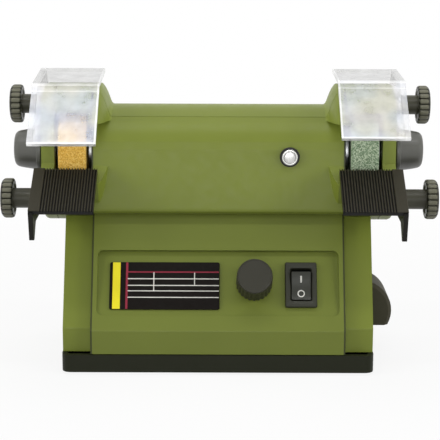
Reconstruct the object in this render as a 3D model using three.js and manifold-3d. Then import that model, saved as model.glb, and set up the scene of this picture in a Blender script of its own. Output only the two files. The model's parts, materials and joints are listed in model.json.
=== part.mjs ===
// A small double wheel grinding and polishing machine for the bench.
// Everything is drawn about the spindle axis: X runs along it to the right, Y away from the user, Z up.
// Lengths are in millimetres.
import * as THREE from 'three';
import { mergeVertices, toCreasedNormals } from 'three/addons/utils/BufferGeometryUtils.js';
import Module from 'manifold-3d';

const wasm = await Module();
wasm.setup();

// Driving sizes of the whole machine
const spindleHeight = 100.2;
const footHeight = 1.2;
const seatGap = 0.3;
const overrun = 4;
const bite = 1;
const shellWall = 2.4;

// Housing: a round motor tube over a sloping body
const tubeRadius = 22;
const housingHalf = 59.7;
const bodyOverhang = 13.3;
const bodyHalf = housingHalf + bodyOverhang;
const partingShare = 0.602;
const faceTilt = THREE.MathUtils.degToRad(6);
const faceDrop = 5.6;
const faceBottom = tubeRadius + faceDrop;
const faceRound = 3;
const apronSetback = 2.8;
const apronTopFront = tubeRadius - apronSetback;
const skirtFront = 44;
const skirtRear = 43;
const skirtHeight = 11.3;
const skirtRound = 1.5;
const flankSetback = 4.5;
const flankTop = 15;

// Base plate, feet and base screws
const baseThickness = 8.4;
const baseWall = 2.6;
const baseLip = 0.5;
const baseRearLip = 2.5;
const baseCorner = 4;
const footRadius = 6;
const footSocket = 1;
const footInset = 8.8;
const screwRadius = 1.5;
const screwHeadRadius = 2.9;
const screwHeadHeight = 2;
const screwReach = 9;
const screwDriveRadius = 1.2;
const screwDriveDepth = 1;
const screwInset = 9;
const screwStep = 22;
const postRadius = 4;
const postHeight = 13;

// Wheel guards: round above, a little deeper below
const wheelOverTube = 3;
const wheelRadius = tubeRadius + wheelOverTube;
const wheelRoom = 7;
const guardRadius = wheelRadius + wheelRoom;
const guardDrop = 2;
const guardWall = 2.2;
const guardWidth = 17.3;
const guardOuter = housingHalf + guardWidth;
const guardFlange = 1.2;
const guardFlangeWidth = 3.4;
const coverDepth = 6.5;
const coverOuter = guardOuter + coverDepth;
const coverRound = 1.8;
const mouthFrontShare = 0.675;
const mouthFloorShare = 0.10625;
const ledgeTopShare = 0.72727;
const mouthFront = guardRadius * mouthFrontShare;
const mouthFloor = guardRadius * mouthFloorShare;
const ledgeTop = tubeRadius * ledgeTopShare;
const flareReach = 9;
const flareStart = housingHalf - flareReach;

// Grinding wheels on their flanges
const wheelWidth = 13;
const wheelBore = 12.7;
const wheelStandOff = 2.6;
const wheelInner = housingHalf + wheelStandOff;
const wheelEdge = 0.6;
const flangeRadius = 13;
const flangeThickness = 1.5;
const outerFlangeThickness = 1.8;
const wheelHubReach = 6.5;
const nutFlatsShare = 1.38298;
const nutHeight = 4;

// Spindle and what turns with it
const shaftRadius = 4;
const runningGap = 0.1;
const shaftShoulder = 5;
const shaftTipRadius = 3;
const shaftReach = 10.5;
const shaftTip = coverOuter + shaftReach;
const bearingShare = 0.5;
const bearingRadius = tubeRadius * bearingShare;
const bearingWidth = 7;
const bearingSetback = 11.7;
const bearingInner = housingHalf - bearingSetback;
const bearingSeatWall = 1.5;
const innerRaceRadius = 6;
const outerRaceWall = 1.7;
const outerRaceRadius = bearingRadius - outerRaceWall;
const raceGroove = 0.9;
const sleeveRadius = 6;
const wallHoleRadius = 7;
const airGap = 0.5;
const armatureSlots = 12;
const armatureSlotWidth = 1.6;
const armatureSlotShare = 0.339;
const windingInset = 1.4;
const windingReach = 6;
const commutatorClearance = 12;
const stackClearance = 20.5;
const statorRadius = tubeRadius - shellWall - seatGap;
const statorBoreShare = 0.6373;
const statorBore = statorRadius * statorBoreShare;
const armatureRadius = statorBore - airGap;
const armatureSlotDepth = armatureRadius * armatureSlotShare;
const windingRadius = armatureRadius - windingInset;
const coilDepth = 4.4;
const coilGap = 2;
const poleHalfAngle = THREE.MathUtils.degToRad(40);
const coilOverhang = 5;
const commutatorRadius = 7.5;
const commutatorSetback = 10;
const commutatorLength = 9;
const commutatorStart = commutatorSetback - bearingInner;
const commutatorEnd = commutatorStart + commutatorLength;
const commutatorBars = 12;
const commutatorGroove = 0.7;
const brushWidth = 5;
const brushHolderWidth = 7;
const brushHolderStart = 9.5;
const brushHolderSetback = 3.4;
const brushHolderEnd = tubeRadius - brushHolderSetback;
const fanSetback = 8.5;
const fanStart = bearingInner - fanSetback;
const fanWidth = 5.5;
const fanRoom = 5;
const fanRadius = tubeRadius - fanRoom;
const fanHub = 7;
const fanBladeThickness = 1.2;
const fanBlades = 9;
const fanTwist = THREE.MathUtils.degToRad(35);
const collarRadius = 9;
const collarWidth = 7;
const notchDepth = 2.6;
const notchWidth = 4.6;
const notches = 8;

// Spindle lock button
const lockSetback = 14.5;
const lockX = bearingInner - lockSetback;
const lockPinRadius = 2;
const lockHeadRadius = 3.8;
const lockHeadLength = 3.3;
const lockStand = 2.6;
const lockDomeRadius = 2.8;
const lockDomeHeight = 0.5;
const lockEdge = 0.4;
const lockTipGap = 1.2;
const bushRadius = 4.2;
const bushRimRadius = 4.7;
const bushRimHeight = 0.6;
const bushRimStand = 0.8;
const bushLength = 6.6;
const bushFloor = 1.5;

// Control pocket in the apron, and what sits in it
const pocketMargin = 16;
const pocketHalf = bodyHalf - pocketMargin;
const pocketHeight = 31.3;
const pocketStart = 18.4;
const pocketDepthTop = 2.6;
const pocketDepthBottom = 0.7;
const pocketCorner = 2.6;
const speedKnobShare = 0.29825;
const speedKnobX = pocketHalf * speedKnobShare;
const speedKnobRadius = 8.7;
const speedKnobTopRadius = 8.4;
const speedKnobHeight = 14;
const speedKnobChamfer = 0.9;
const speedKnobRib = 0.45;
const speedKnobRibs = 24;
const knobLift = 0.6;
const stemRadius = 2.9;
const stemReach = 8;
const potRadius = 8;
const potDepth = 8;
const potBushRadius = 3.8;
const potLugWidth = 9.6;
const potLugReach = 3;
const potLugThickness = 1;
const boardWidthShare = 0.9825;
const boardWidth = pocketHalf * boardWidthShare;
const boardHeight = 25;
const boardThickness = 1.6;
const boardShare = 0.0263;
const boardX = pocketHalf * boardShare;
const capacitorRadius = 4;
const capacitorLength = 9;
const sinkHeight = 7;
const sinkWidth = 9;
const switchShare = 0.68509;
const switchX = pocketHalf * switchShare;
const switchDrop = 0.8;
const bezelWidth = 15;
const bezelHeight = 21.8;
const bezelThickness = 1.8;
const bezelCorner = 0.8;
const switchBodyWidth = 12.6;
const switchBodyHeight = 18.6;
const switchDepth = 13;
const rockerWidth = 9.1;
const rockerHalf = 6.9;
const rockerCrest = 5.2;
const rockerDish = 1.3;
const rockerDishRadius = 24;
const rockerEdge = 0.5;
const rockerKeelHalf = 4.8;
const rockerEndRoom = 0.75;
const rockerKeel = 2.6;
const rockerRoom = 1.4;
const rockerPivotDepth = 2;
const rockerTilt = THREE.MathUtils.degToRad(9);
const rockerClearance = 0.3;
const bladeWidth = 5;
const bladeThickness = 0.8;
const bladeLength = 6;
const plateWidthShare = 0.90877;
const plateWidth = pocketHalf * plateWidthShare;
const plateHeight = 23;
const plateThickness = 0.6;
const plateCorner = 0.8;
const plateShare = -0.44211;
const plateX = pocketHalf * plateShare;
const plateDrop = 1.3;

// Clamp screws and their ribbed knobs
const clampKnobRadius = 9.5;
const clampKnobWidth = 5.9;
const clampKnobStandOff = 20.5;
const clampKnobOuter = coverOuter + clampKnobStandOff;
const leftKnobSunk = 1.2;
const clampKnobRib = 0.6;
const clampKnobRound = 1.6;
const clampKnobRibs = 20;
const clampDishRadius = 6.8;
const clampDishDepth = 0.8;
const clampStemRadius = 4.75;
const clampScrewRadius = 2.4;
const clampScrewDepth = 4;
const clampScrewEnd = coverOuter - clampScrewDepth;
const clampBossRadius = 5;
const clampHoleRadius = 2.7;
const guideThickness = 1.2;
const guideRadius = 6;
const guideHalf = 2.6;
const guideBore = 2.55;
const upperClampShares = [0.59375, 0.609375];
const lowerClampShares = [-0.59375, -0.646875];
const upperClamp = new THREE.Vector2(...upperClampShares).multiplyScalar(guardRadius);
const lowerClamp = new THREE.Vector2(...lowerClampShares).multiplyScalar(guardRadius);

// Work rests
const restOverlap = 3.1;
const restStandOff = 2.8;
const restInner = housingHalf - restOverlap;
const restOuter = coverOuter + restStandOff;
const restThickness = 2.4;
const restLength = 29.5;
const restBackShares = [-0.871875, -0.146875];
const restBack = new THREE.Vector2(...restBackShares).multiplyScalar(guardRadius);
const restSlope = THREE.MathUtils.degToRad(31);
const restMargin = 4.4;
const restRibPitch = 1.3;
const restRibHeight = 0.8;
const armThickness = 2.2;
const restTravel = 8;
const restRelief = 1.5;
const restEye = 5.2;
const armTipDrop = 14.6;
const armTipWidth = 2.2;
const armTipRound = 0.7;
const armTipBack = 4.4;
const armCrook = 7.3;
const armFall = 9.9;
const armSlack = 1;
const armRound = 4;
const armEyeRound = 3.4;
const armShoulderDrop = 4.7;
const armShoulderRound = 2;

// Clear eye shields
const shieldOverlap = 3.5;
const shieldStandOff = 4.4;
const shieldInner = housingHalf - shieldOverlap;
const shieldOuter = coverOuter + shieldStandOff;
const shieldWall = 2;
const shieldSideWall = 2.5;
const shieldBackShares = [0.6625, 1.153125];
const shieldBendShares = [-0.453125, 1.04375];
const shieldLipShares = [-1.2875, 0.278125];
const shieldBack = new THREE.Vector2(...shieldBackShares).multiplyScalar(guardRadius);
const shieldBend = new THREE.Vector2(...shieldBendShares).multiplyScalar(guardRadius);
const shieldLip = new THREE.Vector2(...shieldLipShares).multiplyScalar(guardRadius);
const shieldTravel = 6;
const shieldEye = 5.4;
const shieldSideFloorShare = 0.23125;
const shieldSideFloor = guardRadius * shieldSideFloorShare;
const shieldBendRound = 2.6;
const shieldEdgeRound = 4;
const shieldCrestBackShare = 0.1875;
const shieldCrestFloorShare = 0.40625;
const shieldFrontBackShare = 0.46875;
const shieldCrestBack = guardRadius * shieldCrestBackShare;
const shieldCrestFloor = guardRadius * shieldCrestFloorShare;
const shieldFrontBack = guardRadius * shieldFrontBackShare;
const shieldFrontRound = 3;
const rightShieldLift = THREE.MathUtils.degToRad(3);

// Cone caps over the spindle's ends
const capFlangeShare = 0.375;
const capFlangeRadius = guardRadius * capFlangeShare;
const capSpigotStep = 2.6;
const capStep = 2;
const capTaper = 2.4;
const capSpigotRadius = capFlangeRadius - capSpigotStep;
const capRadius = capFlangeRadius - capStep;
const capTipRadius = capRadius - capTaper;
const capSpigotDepth = 3.1;
const capStandOff = 1.5;
const capReach = 15.3;
const capSpigotStart = coverOuter - capSpigotDepth;
const capFlangeStart = coverOuter + capStandOff;
const capFlangeWidth = 2.2;
const capEnd = coverOuter + capReach;
const capRound = 2.4;
const capWall = 1.4;
const capEdge = 0.7;

// Lead entry hood on the right flank
const hoodRadius = 15.1;
const hoodInset = 3.3;
const hoodX = bodyHalf - hoodInset;
const hoodZ = -78;
const hoodFloor = -85;
const hoodFront = -12;
const hoodRear = 14;
const hoodRound = 1.6;
const leadHoleRadius = 3.4;

// Cooling slots in the rear wall
const ventPitch = 5;
const ventWidth = 2.4;
const ventTop = -38;
const ventBottom = -62;
const ventsPerGroup = 6;
const ventGroupX = 16;

// Facets
const fineSides = 40;
const roundSides = 20;
const smallSides = 12;
const hexSides = 6;
const cornerSteps = 3;
const quarterSteps = [0, 1 / 3, 2 / 3, 1];

// Places that follow from the sizes above
const stackStart = commutatorEnd + commutatorClearance;
const stackEnd = lockX - stackClearance;
const nutFlats = capSpigotRadius * nutFlatsShare;
const partingFront = -tubeRadius * partingShare;
const baseUnder = footHeight - spindleHeight;
const baseTop = baseUnder + baseThickness;
const bodyBottom = baseTop + seatGap;
const skirtTop = bodyBottom + skirtHeight;
const capFloor = capFlangeStart + capFlangeWidth;
const rearTop = tangentPoint(skirtRear, skirtTop, tubeRadius);

// The point where a straight line from (y, z) touches a circle about the spindle, on the rear side
function tangentPoint(y, z, radius) {
  const reach = Math.hypot(y, z);
  const angle = Math.atan2(z, y) + Math.acos(radius / reach);
  return new THREE.Vector2(radius * Math.cos(angle), radius * Math.sin(angle));
}

// Turning three.js geometry into solids that can be joined and cut, and back
function toSolid(geometry) {
  const bare = geometry.index ? geometry.clone() : geometry;
  bare.deleteAttribute('normal');
  bare.deleteAttribute('uv');
  const merged = mergeVertices(bare);
  const vertProperties = Float32Array.from(merged.attributes.position.array);
  const triVerts = Uint32Array.from(merged.index.array);
  if (signedVolume(vertProperties, triVerts) < 0) {
    flipTriangles(triVerts);
  }
  return new wasm.Manifold(new wasm.Mesh({ numProp: 3, vertProperties, triVerts }));
}

function signedVolume(points, triangles) {
  const a = new THREE.Vector3();
  const b = new THREE.Vector3();
  const c = new THREE.Vector3();
  let total = 0;
  for (let i = 0; i < triangles.length; i += 3) {
    a.fromArray(points, triangles[i] * 3);
    b.fromArray(points, triangles[i + 1] * 3);
    c.fromArray(points, triangles[i + 2] * 3);
    total += a.dot(b.cross(c));
  }
  return total;
}

function flipTriangles(triangles) {
  for (let i = 0; i < triangles.length; i += 3) {
    const kept = triangles[i + 1];
    triangles[i + 1] = triangles[i + 2];
    triangles[i + 2] = kept;
  }
}

function toGeometry(solid) {
  const mesh = solid.getMesh();
  const geometry = new THREE.BufferGeometry();
  geometry.setAttribute('position', new THREE.BufferAttribute(Float32Array.from(mesh.vertProperties), 3));
  geometry.setIndex(new THREE.BufferAttribute(Uint32Array.from(mesh.triVerts), 1));
  return toCreasedNormals(geometry, THREE.MathUtils.degToRad(35));
}

function join(first, ...others) {
  return others.reduce((sum, solid) => sum.add(solid), first);
}

function cut(first, ...others) {
  return others.reduce((rest, solid) => rest.subtract(solid), first);
}

// Outlines: corners are [u, v] or [u, v, radius]
function roundedOutline(corners) {
  const shape = new THREE.Shape();
  const count = corners.length;
  const points = [];
  for (let i = 0; i < count; i += 1) {
    const before = new THREE.Vector2(...corners[(i + count - 1) % count]);
    const here = new THREE.Vector2(...corners[i]);
    const after = new THREE.Vector2(...corners[(i + 1) % count]);
    points.push(...cornerPoints(before, here, after, corners[i][2] ?? 0));
  }
  shape.setFromPoints(points);
  return shape;
}

function cornerPoints(before, here, after, radius) {
  if (radius === 0) {
    return [here];
  }
  const back = before.clone().sub(here).normalize();
  const ahead = after.clone().sub(here).normalize();
  const half = Math.acos(THREE.MathUtils.clamp(back.dot(ahead), -1, 1)) / 2;
  const centre = here.clone().addScaledVector(back.clone().add(ahead).normalize(), radius / Math.sin(half));
  const first = here.clone().addScaledVector(back, radius / Math.tan(half)).sub(centre);
  const last = here.clone().addScaledVector(ahead, radius / Math.tan(half)).sub(centre);
  const sweep = Math.atan2(first.cross(last), first.dot(last));
  const points = [];
  for (let step = 0; step <= cornerSteps; step += 1) {
    const turned = first.clone().rotateAround(new THREE.Vector2(), (sweep * step) / cornerSteps);
    points.push(turned.add(centre));
  }
  return points;
}

function rectangle(width, height, radius = 0) {
  const w = width / 2;
  const h = height / 2;
  return roundedOutline([[-w, -h, radius], [w, -h, radius], [w, h, radius], [-w, h, radius]]);
}

// Moves each edge of an outline inward by its own wall, and gives the corners where the moved edges meet
function insetCorners(corners, walls) {
  const count = corners.length;
  const lines = corners.map((corner, i) => {
    const start = new THREE.Vector2(corner[0], corner[1]);
    const end = new THREE.Vector2(corners[(i + 1) % count][0], corners[(i + 1) % count][1]);
    const along = end.clone().sub(start).normalize();
    const inward = new THREE.Vector2(-along.y, along.x);
    return { start: start.addScaledVector(inward, walls[i]), along };
  });
  return lines.map((line, i) => {
    const previous = lines[(i + count - 1) % count];
    const offset = line.start.clone().sub(previous.start);
    const travel = offset.cross(line.along) / previous.along.cross(line.along);
    const meet = previous.start.clone().addScaledVector(previous.along, travel);
    return [meet.x, meet.y];
  });
}

// Solids: a side outline (Y, Z) drawn out along X, a profile turned about X, and plain blocks and pins
const sideways = new THREE.Matrix4().makeBasis(
  new THREE.Vector3(0, 1, 0),
  new THREE.Vector3(0, 0, 1),
  new THREE.Vector3(1, 0, 0),
);

function extrudeX(shape, start, end) {
  const geometry = new THREE.ExtrudeGeometry(shape, { depth: end - start, bevelEnabled: false });
  geometry.applyMatrix4(sideways);
  geometry.translate(start, 0, 0);
  return toSolid(geometry);
}

function extrudeZ(shape, start, end) {
  const geometry = new THREE.ExtrudeGeometry(shape, { depth: end - start, bevelEnabled: false });
  geometry.translate(0, 0, start);
  return toSolid(geometry);
}

// Profile points are [place along the axis, radius]; the profile closes on itself
function turnZ(profile, sides = roundSides) {
  const points = profile.map(([place, radius]) => new THREE.Vector2(radius, place));
  points.push(points[0].clone());
  const geometry = new THREE.LatheGeometry(points, sides);
  geometry.rotateX(Math.PI / 2);
  return toSolid(geometry);
}

function turnX(profile, sides = roundSides) {
  const points = profile.map(([place, radius]) => new THREE.Vector2(radius, place));
  points.push(points[0].clone());
  const geometry = new THREE.LatheGeometry(points, sides);
  geometry.rotateZ(-Math.PI / 2);
  return toSolid(geometry);
}

function rodX(radius, start, end, sides = roundSides) {
  return turnX([[start, 0], [start, radius], [end, radius], [end, 0]], sides);
}

function rodZ(radius, start, end, sides = roundSides) {
  return turnZ([[start, 0], [start, radius], [end, radius], [end, 0]], sides);
}

function block(x0, x1, y0, y1, z0, z1) {
  const geometry = new THREE.BoxGeometry(x1 - x0, y1 - y0, z1 - z0);
  geometry.translate((x0 + x1) / 2, (y0 + y1) / 2, (z0 + z1) / 2);
  return toSolid(geometry);
}

// A skin through rings of points, one ring at each place along X, with fans closing both ends
function loftX(rings) {
  const count = rings[0].ring.length;
  const positions = [];
  const triangles = [];
  for (const { place, ring } of rings) {
    ring.forEach((point) => positions.push(place, point.x, point.y));
  }
  for (let level = 0; level + 1 < rings.length; level += 1) {
    for (let i = 0; i < count; i += 1) {
      const a = level * count + i;
      const b = level * count + ((i + 1) % count);
      triangles.push(a, b, a + count, b, b + count, a + count);
    }
  }
  for (const [level, flip] of [[0, true], [rings.length - 1, false]]) {
    const centre = positions.length / 3;
    positions.push(rings[level].place, 0, 0);
    for (let i = 0; i < count; i += 1) {
      const a = level * count + i;
      const b = level * count + ((i + 1) % count);
      triangles.push(...(flip ? [a, centre, b] : [a, b, centre]));
    }
  }
  const geometry = new THREE.BufferGeometry();
  geometry.setAttribute('position', new THREE.Float32BufferAttribute(positions, 3));
  geometry.setIndex(triangles);
  return toSolid(geometry);
}

function moved(solid, matrix) {
  const geometry = toGeometry(solid);
  geometry.applyMatrix4(matrix);
  return toSolid(geometry);
}

function shifted(solid, x, y, z) {
  return moved(solid, new THREE.Matrix4().makeTranslation(x, y, z));
}

function mirroredX(solid) {
  return moved(solid, new THREE.Matrix4().makeScale(-1, 1, 1));
}

// A ring outline with ribs, for knobs that are gripped
function ribbedRing(radius, rib, ribs) {
  const ring = [];
  const pitch = (2 * Math.PI) / ribs;
  for (let i = 0; i < ribs; i += 1) {
    for (const [turnShare, reach] of [[0, radius], [0.5, radius - rib]]) {
      const angle = pitch * (i + turnShare);
      ring.push(new THREE.Vector2(reach * Math.cos(angle), reach * Math.sin(angle)));
    }
  }
  return ring;
}

// The guard's outline: a half circle above the spindle, a slightly deeper half ellipse below
function guardRing(radius, drop, sides = fineSides) {
  const ring = [];
  for (let i = 0; i < sides; i += 1) {
    const angle = (2 * Math.PI * i) / sides;
    const height = Math.sin(angle) < 0 ? radius + drop : radius;
    ring.push(new THREE.Vector2(radius * Math.cos(angle), height * Math.sin(angle)));
  }
  return ring;
}

function guardBlock(growth, start, end) {
  const ring = guardRing(guardRadius + growth, guardDrop);
  return loftX([{ place: start, ring }, { place: end, ring }]);
}

// Housing
function centralCorners() {
  const faceTop = [-tubeRadius * Math.cos(faceTilt), tubeRadius * Math.sin(faceTilt)];
  const faceEnd = [faceTop[0] - (faceTop[1] + faceBottom) * Math.tan(faceTilt), -faceBottom, faceRound];
  return [
    faceTop,
    faceEnd,
    [-apronTopFront, -faceBottom],
    [-skirtFront, skirtTop, skirtRound],
    [-skirtFront, bodyBottom],
    [skirtRear, bodyBottom],
    [skirtRear, skirtTop, skirtRound],
    [rearTop.x, rearTop.y],
  ];
}

// The flank line runs parallel to the apron, set back from it
function flankFront(z) {
  const slope = (skirtFront - apronTopFront) / (-skirtTop - faceBottom);
  return -apronTopFront + flankSetback + (z + faceBottom) * slope;
}

function rearAt(z) {
  return THREE.MathUtils.mapLinear(z, skirtTop, rearTop.y, skirtRear, rearTop.x);
}

function flankCorners() {
  return [
    [flankFront(-flankTop), -flankTop],
    [-skirtFront + flankSetback, skirtTop, skirtRound],
    [-skirtFront + flankSetback, bodyBottom],
    [skirtRear, bodyBottom],
    [skirtRear, skirtTop, skirtRound],
    [rearAt(-flankTop), -flankTop],
  ];
}

// Shares of the way from the flare's start to the housing's end, and from the tube out to the guard's rim
const flareShares = [
  [0, -0.12], [0, 0], [0.09, 0.06], [0.18, 0.22], [0.27, 0.44], [0.36, 0.64], [0.46, 0.82], [0.56, 0.95],
  [0.64, 1], [1, 1],
];

function flare() {
  const inner = guardRing(tubeRadius, 0);
  const outer = guardRing(guardRadius, guardDrop);
  const rings = flareShares.map(([along, out]) => ({
    place: THREE.MathUtils.lerp(flareStart, housingHalf, along),
    ring: inner.map((point, i) => point.clone().lerp(outer[i], out)),
  }));
  const front = [
    [-guardRadius - overrun, ledgeTop],
    [0, ledgeTop],
    [0, -mouthFloor],
    [-mouthFront, -mouthFloor],
    [-guardRadius - overrun, -mouthFloor - guardRadius - overrun + mouthFront],
  ];
  const notch = cut(
    extrudeX(roundedOutline(front), flareStart - overrun, housingHalf + overrun),
    rodX(tubeRadius, flareStart - overrun, housingHalf + overrun, fineSides),
  );
  return cut(loftX(rings), notch);
}

function bodyOutside() {
  const flank = extrudeX(roundedOutline(flankCorners()), -bodyHalf, bodyHalf);
  const right = flare();
  const guardSpace = guardBlock(seatGap, housingHalf, bodyHalf + overrun);
  return join(
    cut(flank, guardSpace, mirroredX(guardSpace)),
    rodX(tubeRadius, -housingHalf, housingHalf, fineSides),
    extrudeX(roundedOutline(centralCorners()), -housingHalf, housingHalf),
    right,
    mirroredX(right),
  );
}

function bodyInside(wall) {
  const end = housingHalf - wall;
  const central = centralCorners();
  const centralWalls = central.map(() => wall);
  centralWalls[4] = -overrun;
  centralWalls[7] = 0;
  const flank = flankCorners();
  const flankWalls = flank.map(() => wall);
  flankWalls[2] = -overrun;
  const saddle = guardBlock(seatGap + wall, end, bodyHalf);
  return join(
    rodX(tubeRadius - wall, -end, end, fineSides),
    extrudeX(roundedOutline(insetCorners(central, centralWalls)), -end, end),
    cut(
      extrudeX(roundedOutline(insetCorners(flank, flankWalls)), wall - bodyHalf, bodyHalf - wall),
      saddle,
      mirroredX(saddle),
    ),
  );
}

// The space in front of the parting line, which the front cover fills
function frontSpace(growth) {
  const rear = partingFront + growth;
  const slope = (skirtFront - apronTopFront) / (-skirtTop - faceBottom);
  const bend = (rear - growth + apronTopFront - flankSetback) / slope - faceBottom;
  const far = -skirtFront - tubeRadius;
  const corners = [
    [far, guardRadius + overrun],
    [far, bodyBottom - overrun],
    [-skirtFront + flankSetback + growth, bodyBottom - overrun],
    [-skirtFront + flankSetback + growth, skirtTop],
    [rear, bend],
    [rear, guardRadius + overrun],
  ];
  return extrudeX(roundedOutline(corners), -housingHalf - growth, housingHalf + growth);
}

// A ring that carries the bearing, on the inside of the end wall
function bearingSeat() {
  const outer = bearingRadius + seatGap + bearingSeatWall;
  return rodX(outer, bearingInner - seatGap, housingHalf - shellWall / 2);
}

function bearingSeatBore() {
  const shoulder = bearingInner + bearingWidth + seatGap;
  return join(
    rodX(bearingRadius + seatGap, bearingInner - overrun, shoulder),
    rodX(wallHoleRadius, bearingInner - overrun, housingHalf + overrun),
  );
}

// Webs across the tube, rooted in its wall: one carries the brush holders, two cradle the stator
function webs() {
  const rooted = bodyInside(shellWall / 2);
  const webDepth = tubeRadius + seatGap;
  const reach = tubeRadius + overrun;
  const plate = (x) => block(x, x + shellWall, partingFront + 2 * seatGap, reach, -webDepth, tubeRadius);
  const bulkhead = cut(
    plate(commutatorStart - shellWall - seatGap),
    rodX(commutatorRadius, commutatorStart - overrun, commutatorStart + overrun),
  );
  const cradleBore = rodX(statorRadius + seatGap, stackStart, stackEnd, fineSides);
  const cradles = [stackStart + shellWall, stackEnd - 2 * shellWall].map((x) => cut(plate(x), cradleBore));
  return [bulkhead, ...cradles].map((web) => web.intersect(rooted));
}

function ventCuts() {
  const cuts = [];
  for (const side of [-1, 1]) {
    for (let i = 0; i < ventsPerGroup; i += 1) {
      const x = side * (ventGroupX + i * ventPitch);
      cuts.push(block(x - ventWidth / 2, x + ventWidth / 2, rearTop.x, skirtRear, ventBottom, ventTop));
    }
  }
  return cuts;
}

function screwPlaces() {
  const x = bodyHalf - screwInset;
  const front = -skirtFront + screwStep;
  const rear = skirtRear - screwStep;
  return [[-x, front], [x, front], [-x, rear], [x, rear]];
}

// A screw post, tied to the flank's wall by a rib
function screwPost(x, y) {
  const side = Math.sign(x);
  const wall = side * (bodyHalf - shellWall / 2);
  const half = shellWall / 2;
  const top = bodyBottom + postHeight;
  const post = shifted(rodZ(postRadius, bodyBottom, top, smallSides), x, y, 0);
  const rib = block(Math.min(x, wall), Math.max(x, wall), y - half, y + half, bodyBottom, top);
  const floor = bodyBottom + screwReach + seatGap;
  const hole = rodZ(screwRadius + seatGap, bodyBottom - overrun, floor, smallSides);
  return cut(join(post, rib), shifted(hole, x, y, 0));
}

function mainHousing(outside, inside) {
  const seat = bearingSeat();
  const bore = bearingSeatBore();
  const posts = screwPlaces().map(([x, y]) => screwPost(x, y));
  const shell = cut(outside, frontSpace(seatGap), inside, ...ventCuts());
  return cut(join(shell, seat, mirroredX(seat), ...webs(), ...posts), bore, mirroredX(bore));
}

// The panel frame lies on the pocket's floor: X right, Y up the slope, Z out towards the user
const apronAngle = Math.atan2(skirtFront - apronTopFront, -skirtTop - faceBottom);
const floorAngle = apronAngle + Math.atan2(pocketDepthTop - pocketDepthBottom, pocketHeight);
const panelFrame = makePanelFrame();

function makePanelFrame() {
  const down = new THREE.Vector2(-Math.sin(apronAngle), -Math.cos(apronAngle));
  const out = new THREE.Vector2(-Math.cos(apronAngle), Math.sin(apronAngle));
  const depth = (pocketDepthTop + pocketDepthBottom) / 2;
  const centre = new THREE.Vector2(-apronTopFront, -faceBottom);
  centre.addScaledVector(down, pocketStart + pocketHeight / 2).addScaledVector(out, -depth);
  const frame = new THREE.Matrix4().makeRotationX(Math.PI / 2 - floorAngle);
  return frame.setPosition(0, centre.x, centre.y);
}

function frontCover(outside, inside) {
  const backing = extrudeZ(
    rectangle(2 * (pocketHalf + shellWall / 2), pocketHeight + 2 * shellWall, pocketCorner),
    -shellWall,
    pocketDepthTop,
  );
  const pocket = extrudeZ(rectangle(2 * pocketHalf, pocketHeight, pocketCorner), 0, tubeRadius);
  const switchHole = extrudeZ(
    rectangle(switchBodyWidth + 2 * seatGap, switchBodyHeight + 2 * seatGap),
    -shellWall - overrun,
    overrun,
  );
  const stemHole = rodZ(potBushRadius + seatGap, -shellWall - overrun, overrun, smallSides);
  const bushHole = moved(
    rodZ(bushRadius + seatGap, -tubeRadius, tubeRadius, roundSides),
    new THREE.Matrix4().makeRotationX(Math.PI / 2).setPosition(lockX, -tubeRadius, 0),
  );
  const onPanel = (solid) => moved(solid, panelFrame);
  const shell = cut(outside.intersect(frontSpace(0)), inside);
  return cut(
    join(shell, onPanel(backing).intersect(outside).intersect(frontSpace(0))),
    onPanel(pocket),
    onPanel(shifted(switchHole, switchX, -switchDrop, 0)),
    onPanel(shifted(stemHole, speedKnobX, 0, 0)),
    bushHole,
  );
}

// Base plate: a tray with sockets for the feet and counterbored screw holes
function footPlaces() {
  const x = bodyHalf - footInset;
  return [
    [-x, -skirtFront + footInset],
    [x, -skirtFront + footInset],
    [-x, skirtRear - footInset],
    [x, skirtRear - footInset],
  ];
}

function basePlate() {
  const front = -skirtFront - baseLip;
  const rear = skirtRear + baseRearLip;
  const half = bodyHalf + seatGap;
  const outline = (wall) => roundedOutline([
    [-half + wall, front + wall, baseCorner - wall],
    [half - wall, front + wall, baseCorner - wall],
    [half - wall, rear - wall, baseCorner - wall],
    [-half + wall, rear - wall, baseCorner - wall],
  ]);
  const plate = extrudeZ(outline(0), baseUnder, baseTop);
  const well = extrudeZ(outline(baseWall), baseUnder + baseWall, baseTop + overrun);
  const pillars = screwPlaces().map(([x, y]) => shifted(
    rodZ(postRadius + baseWall / 2, baseUnder + baseWall / 2, baseTop, smallSides),
    x,
    y,
    0,
  ));
  const headRoom = baseUnder + screwHeadHeight + 2 * seatGap;
  const holes = screwPlaces().map(([x, y]) => shifted(
    join(
      rodZ(screwRadius + seatGap, baseUnder - overrun, baseTop + overrun, smallSides),
      rodZ(screwHeadRadius + seatGap, baseUnder - overrun, headRoom, smallSides),
    ),
    x,
    y,
    0,
  ));
  const sockets = footPlaces().map(([x, y]) => shifted(
    rodZ(footRadius + seatGap, baseUnder - overrun, baseUnder + footSocket, smallSides),
    x,
    y,
    0,
  ));
  return cut(join(cut(plate, well), ...pillars), ...holes, ...sockets);
}

function foot() {
  const top = baseUnder + footSocket - seatGap;
  const chamfer = footHeight / 2;
  return turnZ([
    [-spindleHeight, 0],
    [-spindleHeight, footRadius - chamfer],
    [-spindleHeight + chamfer, footRadius],
    [top, footRadius],
    [top, 0],
  ], smallSides);
}

function baseScrew() {
  const headBottom = baseUnder + seatGap;
  const headTop = headBottom + screwHeadHeight;
  const screw = turnZ([
    [headBottom, 0],
    [headBottom, screwHeadRadius],
    [headTop, screwHeadRadius],
    [headTop, screwRadius],
    [bodyBottom + screwReach, screwRadius],
    [bodyBottom + screwReach, 0],
  ], smallSides);
  return cut(screw, rodZ(screwDriveRadius, headBottom - overrun, headBottom + screwDriveDepth, hexSides));
}

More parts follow.
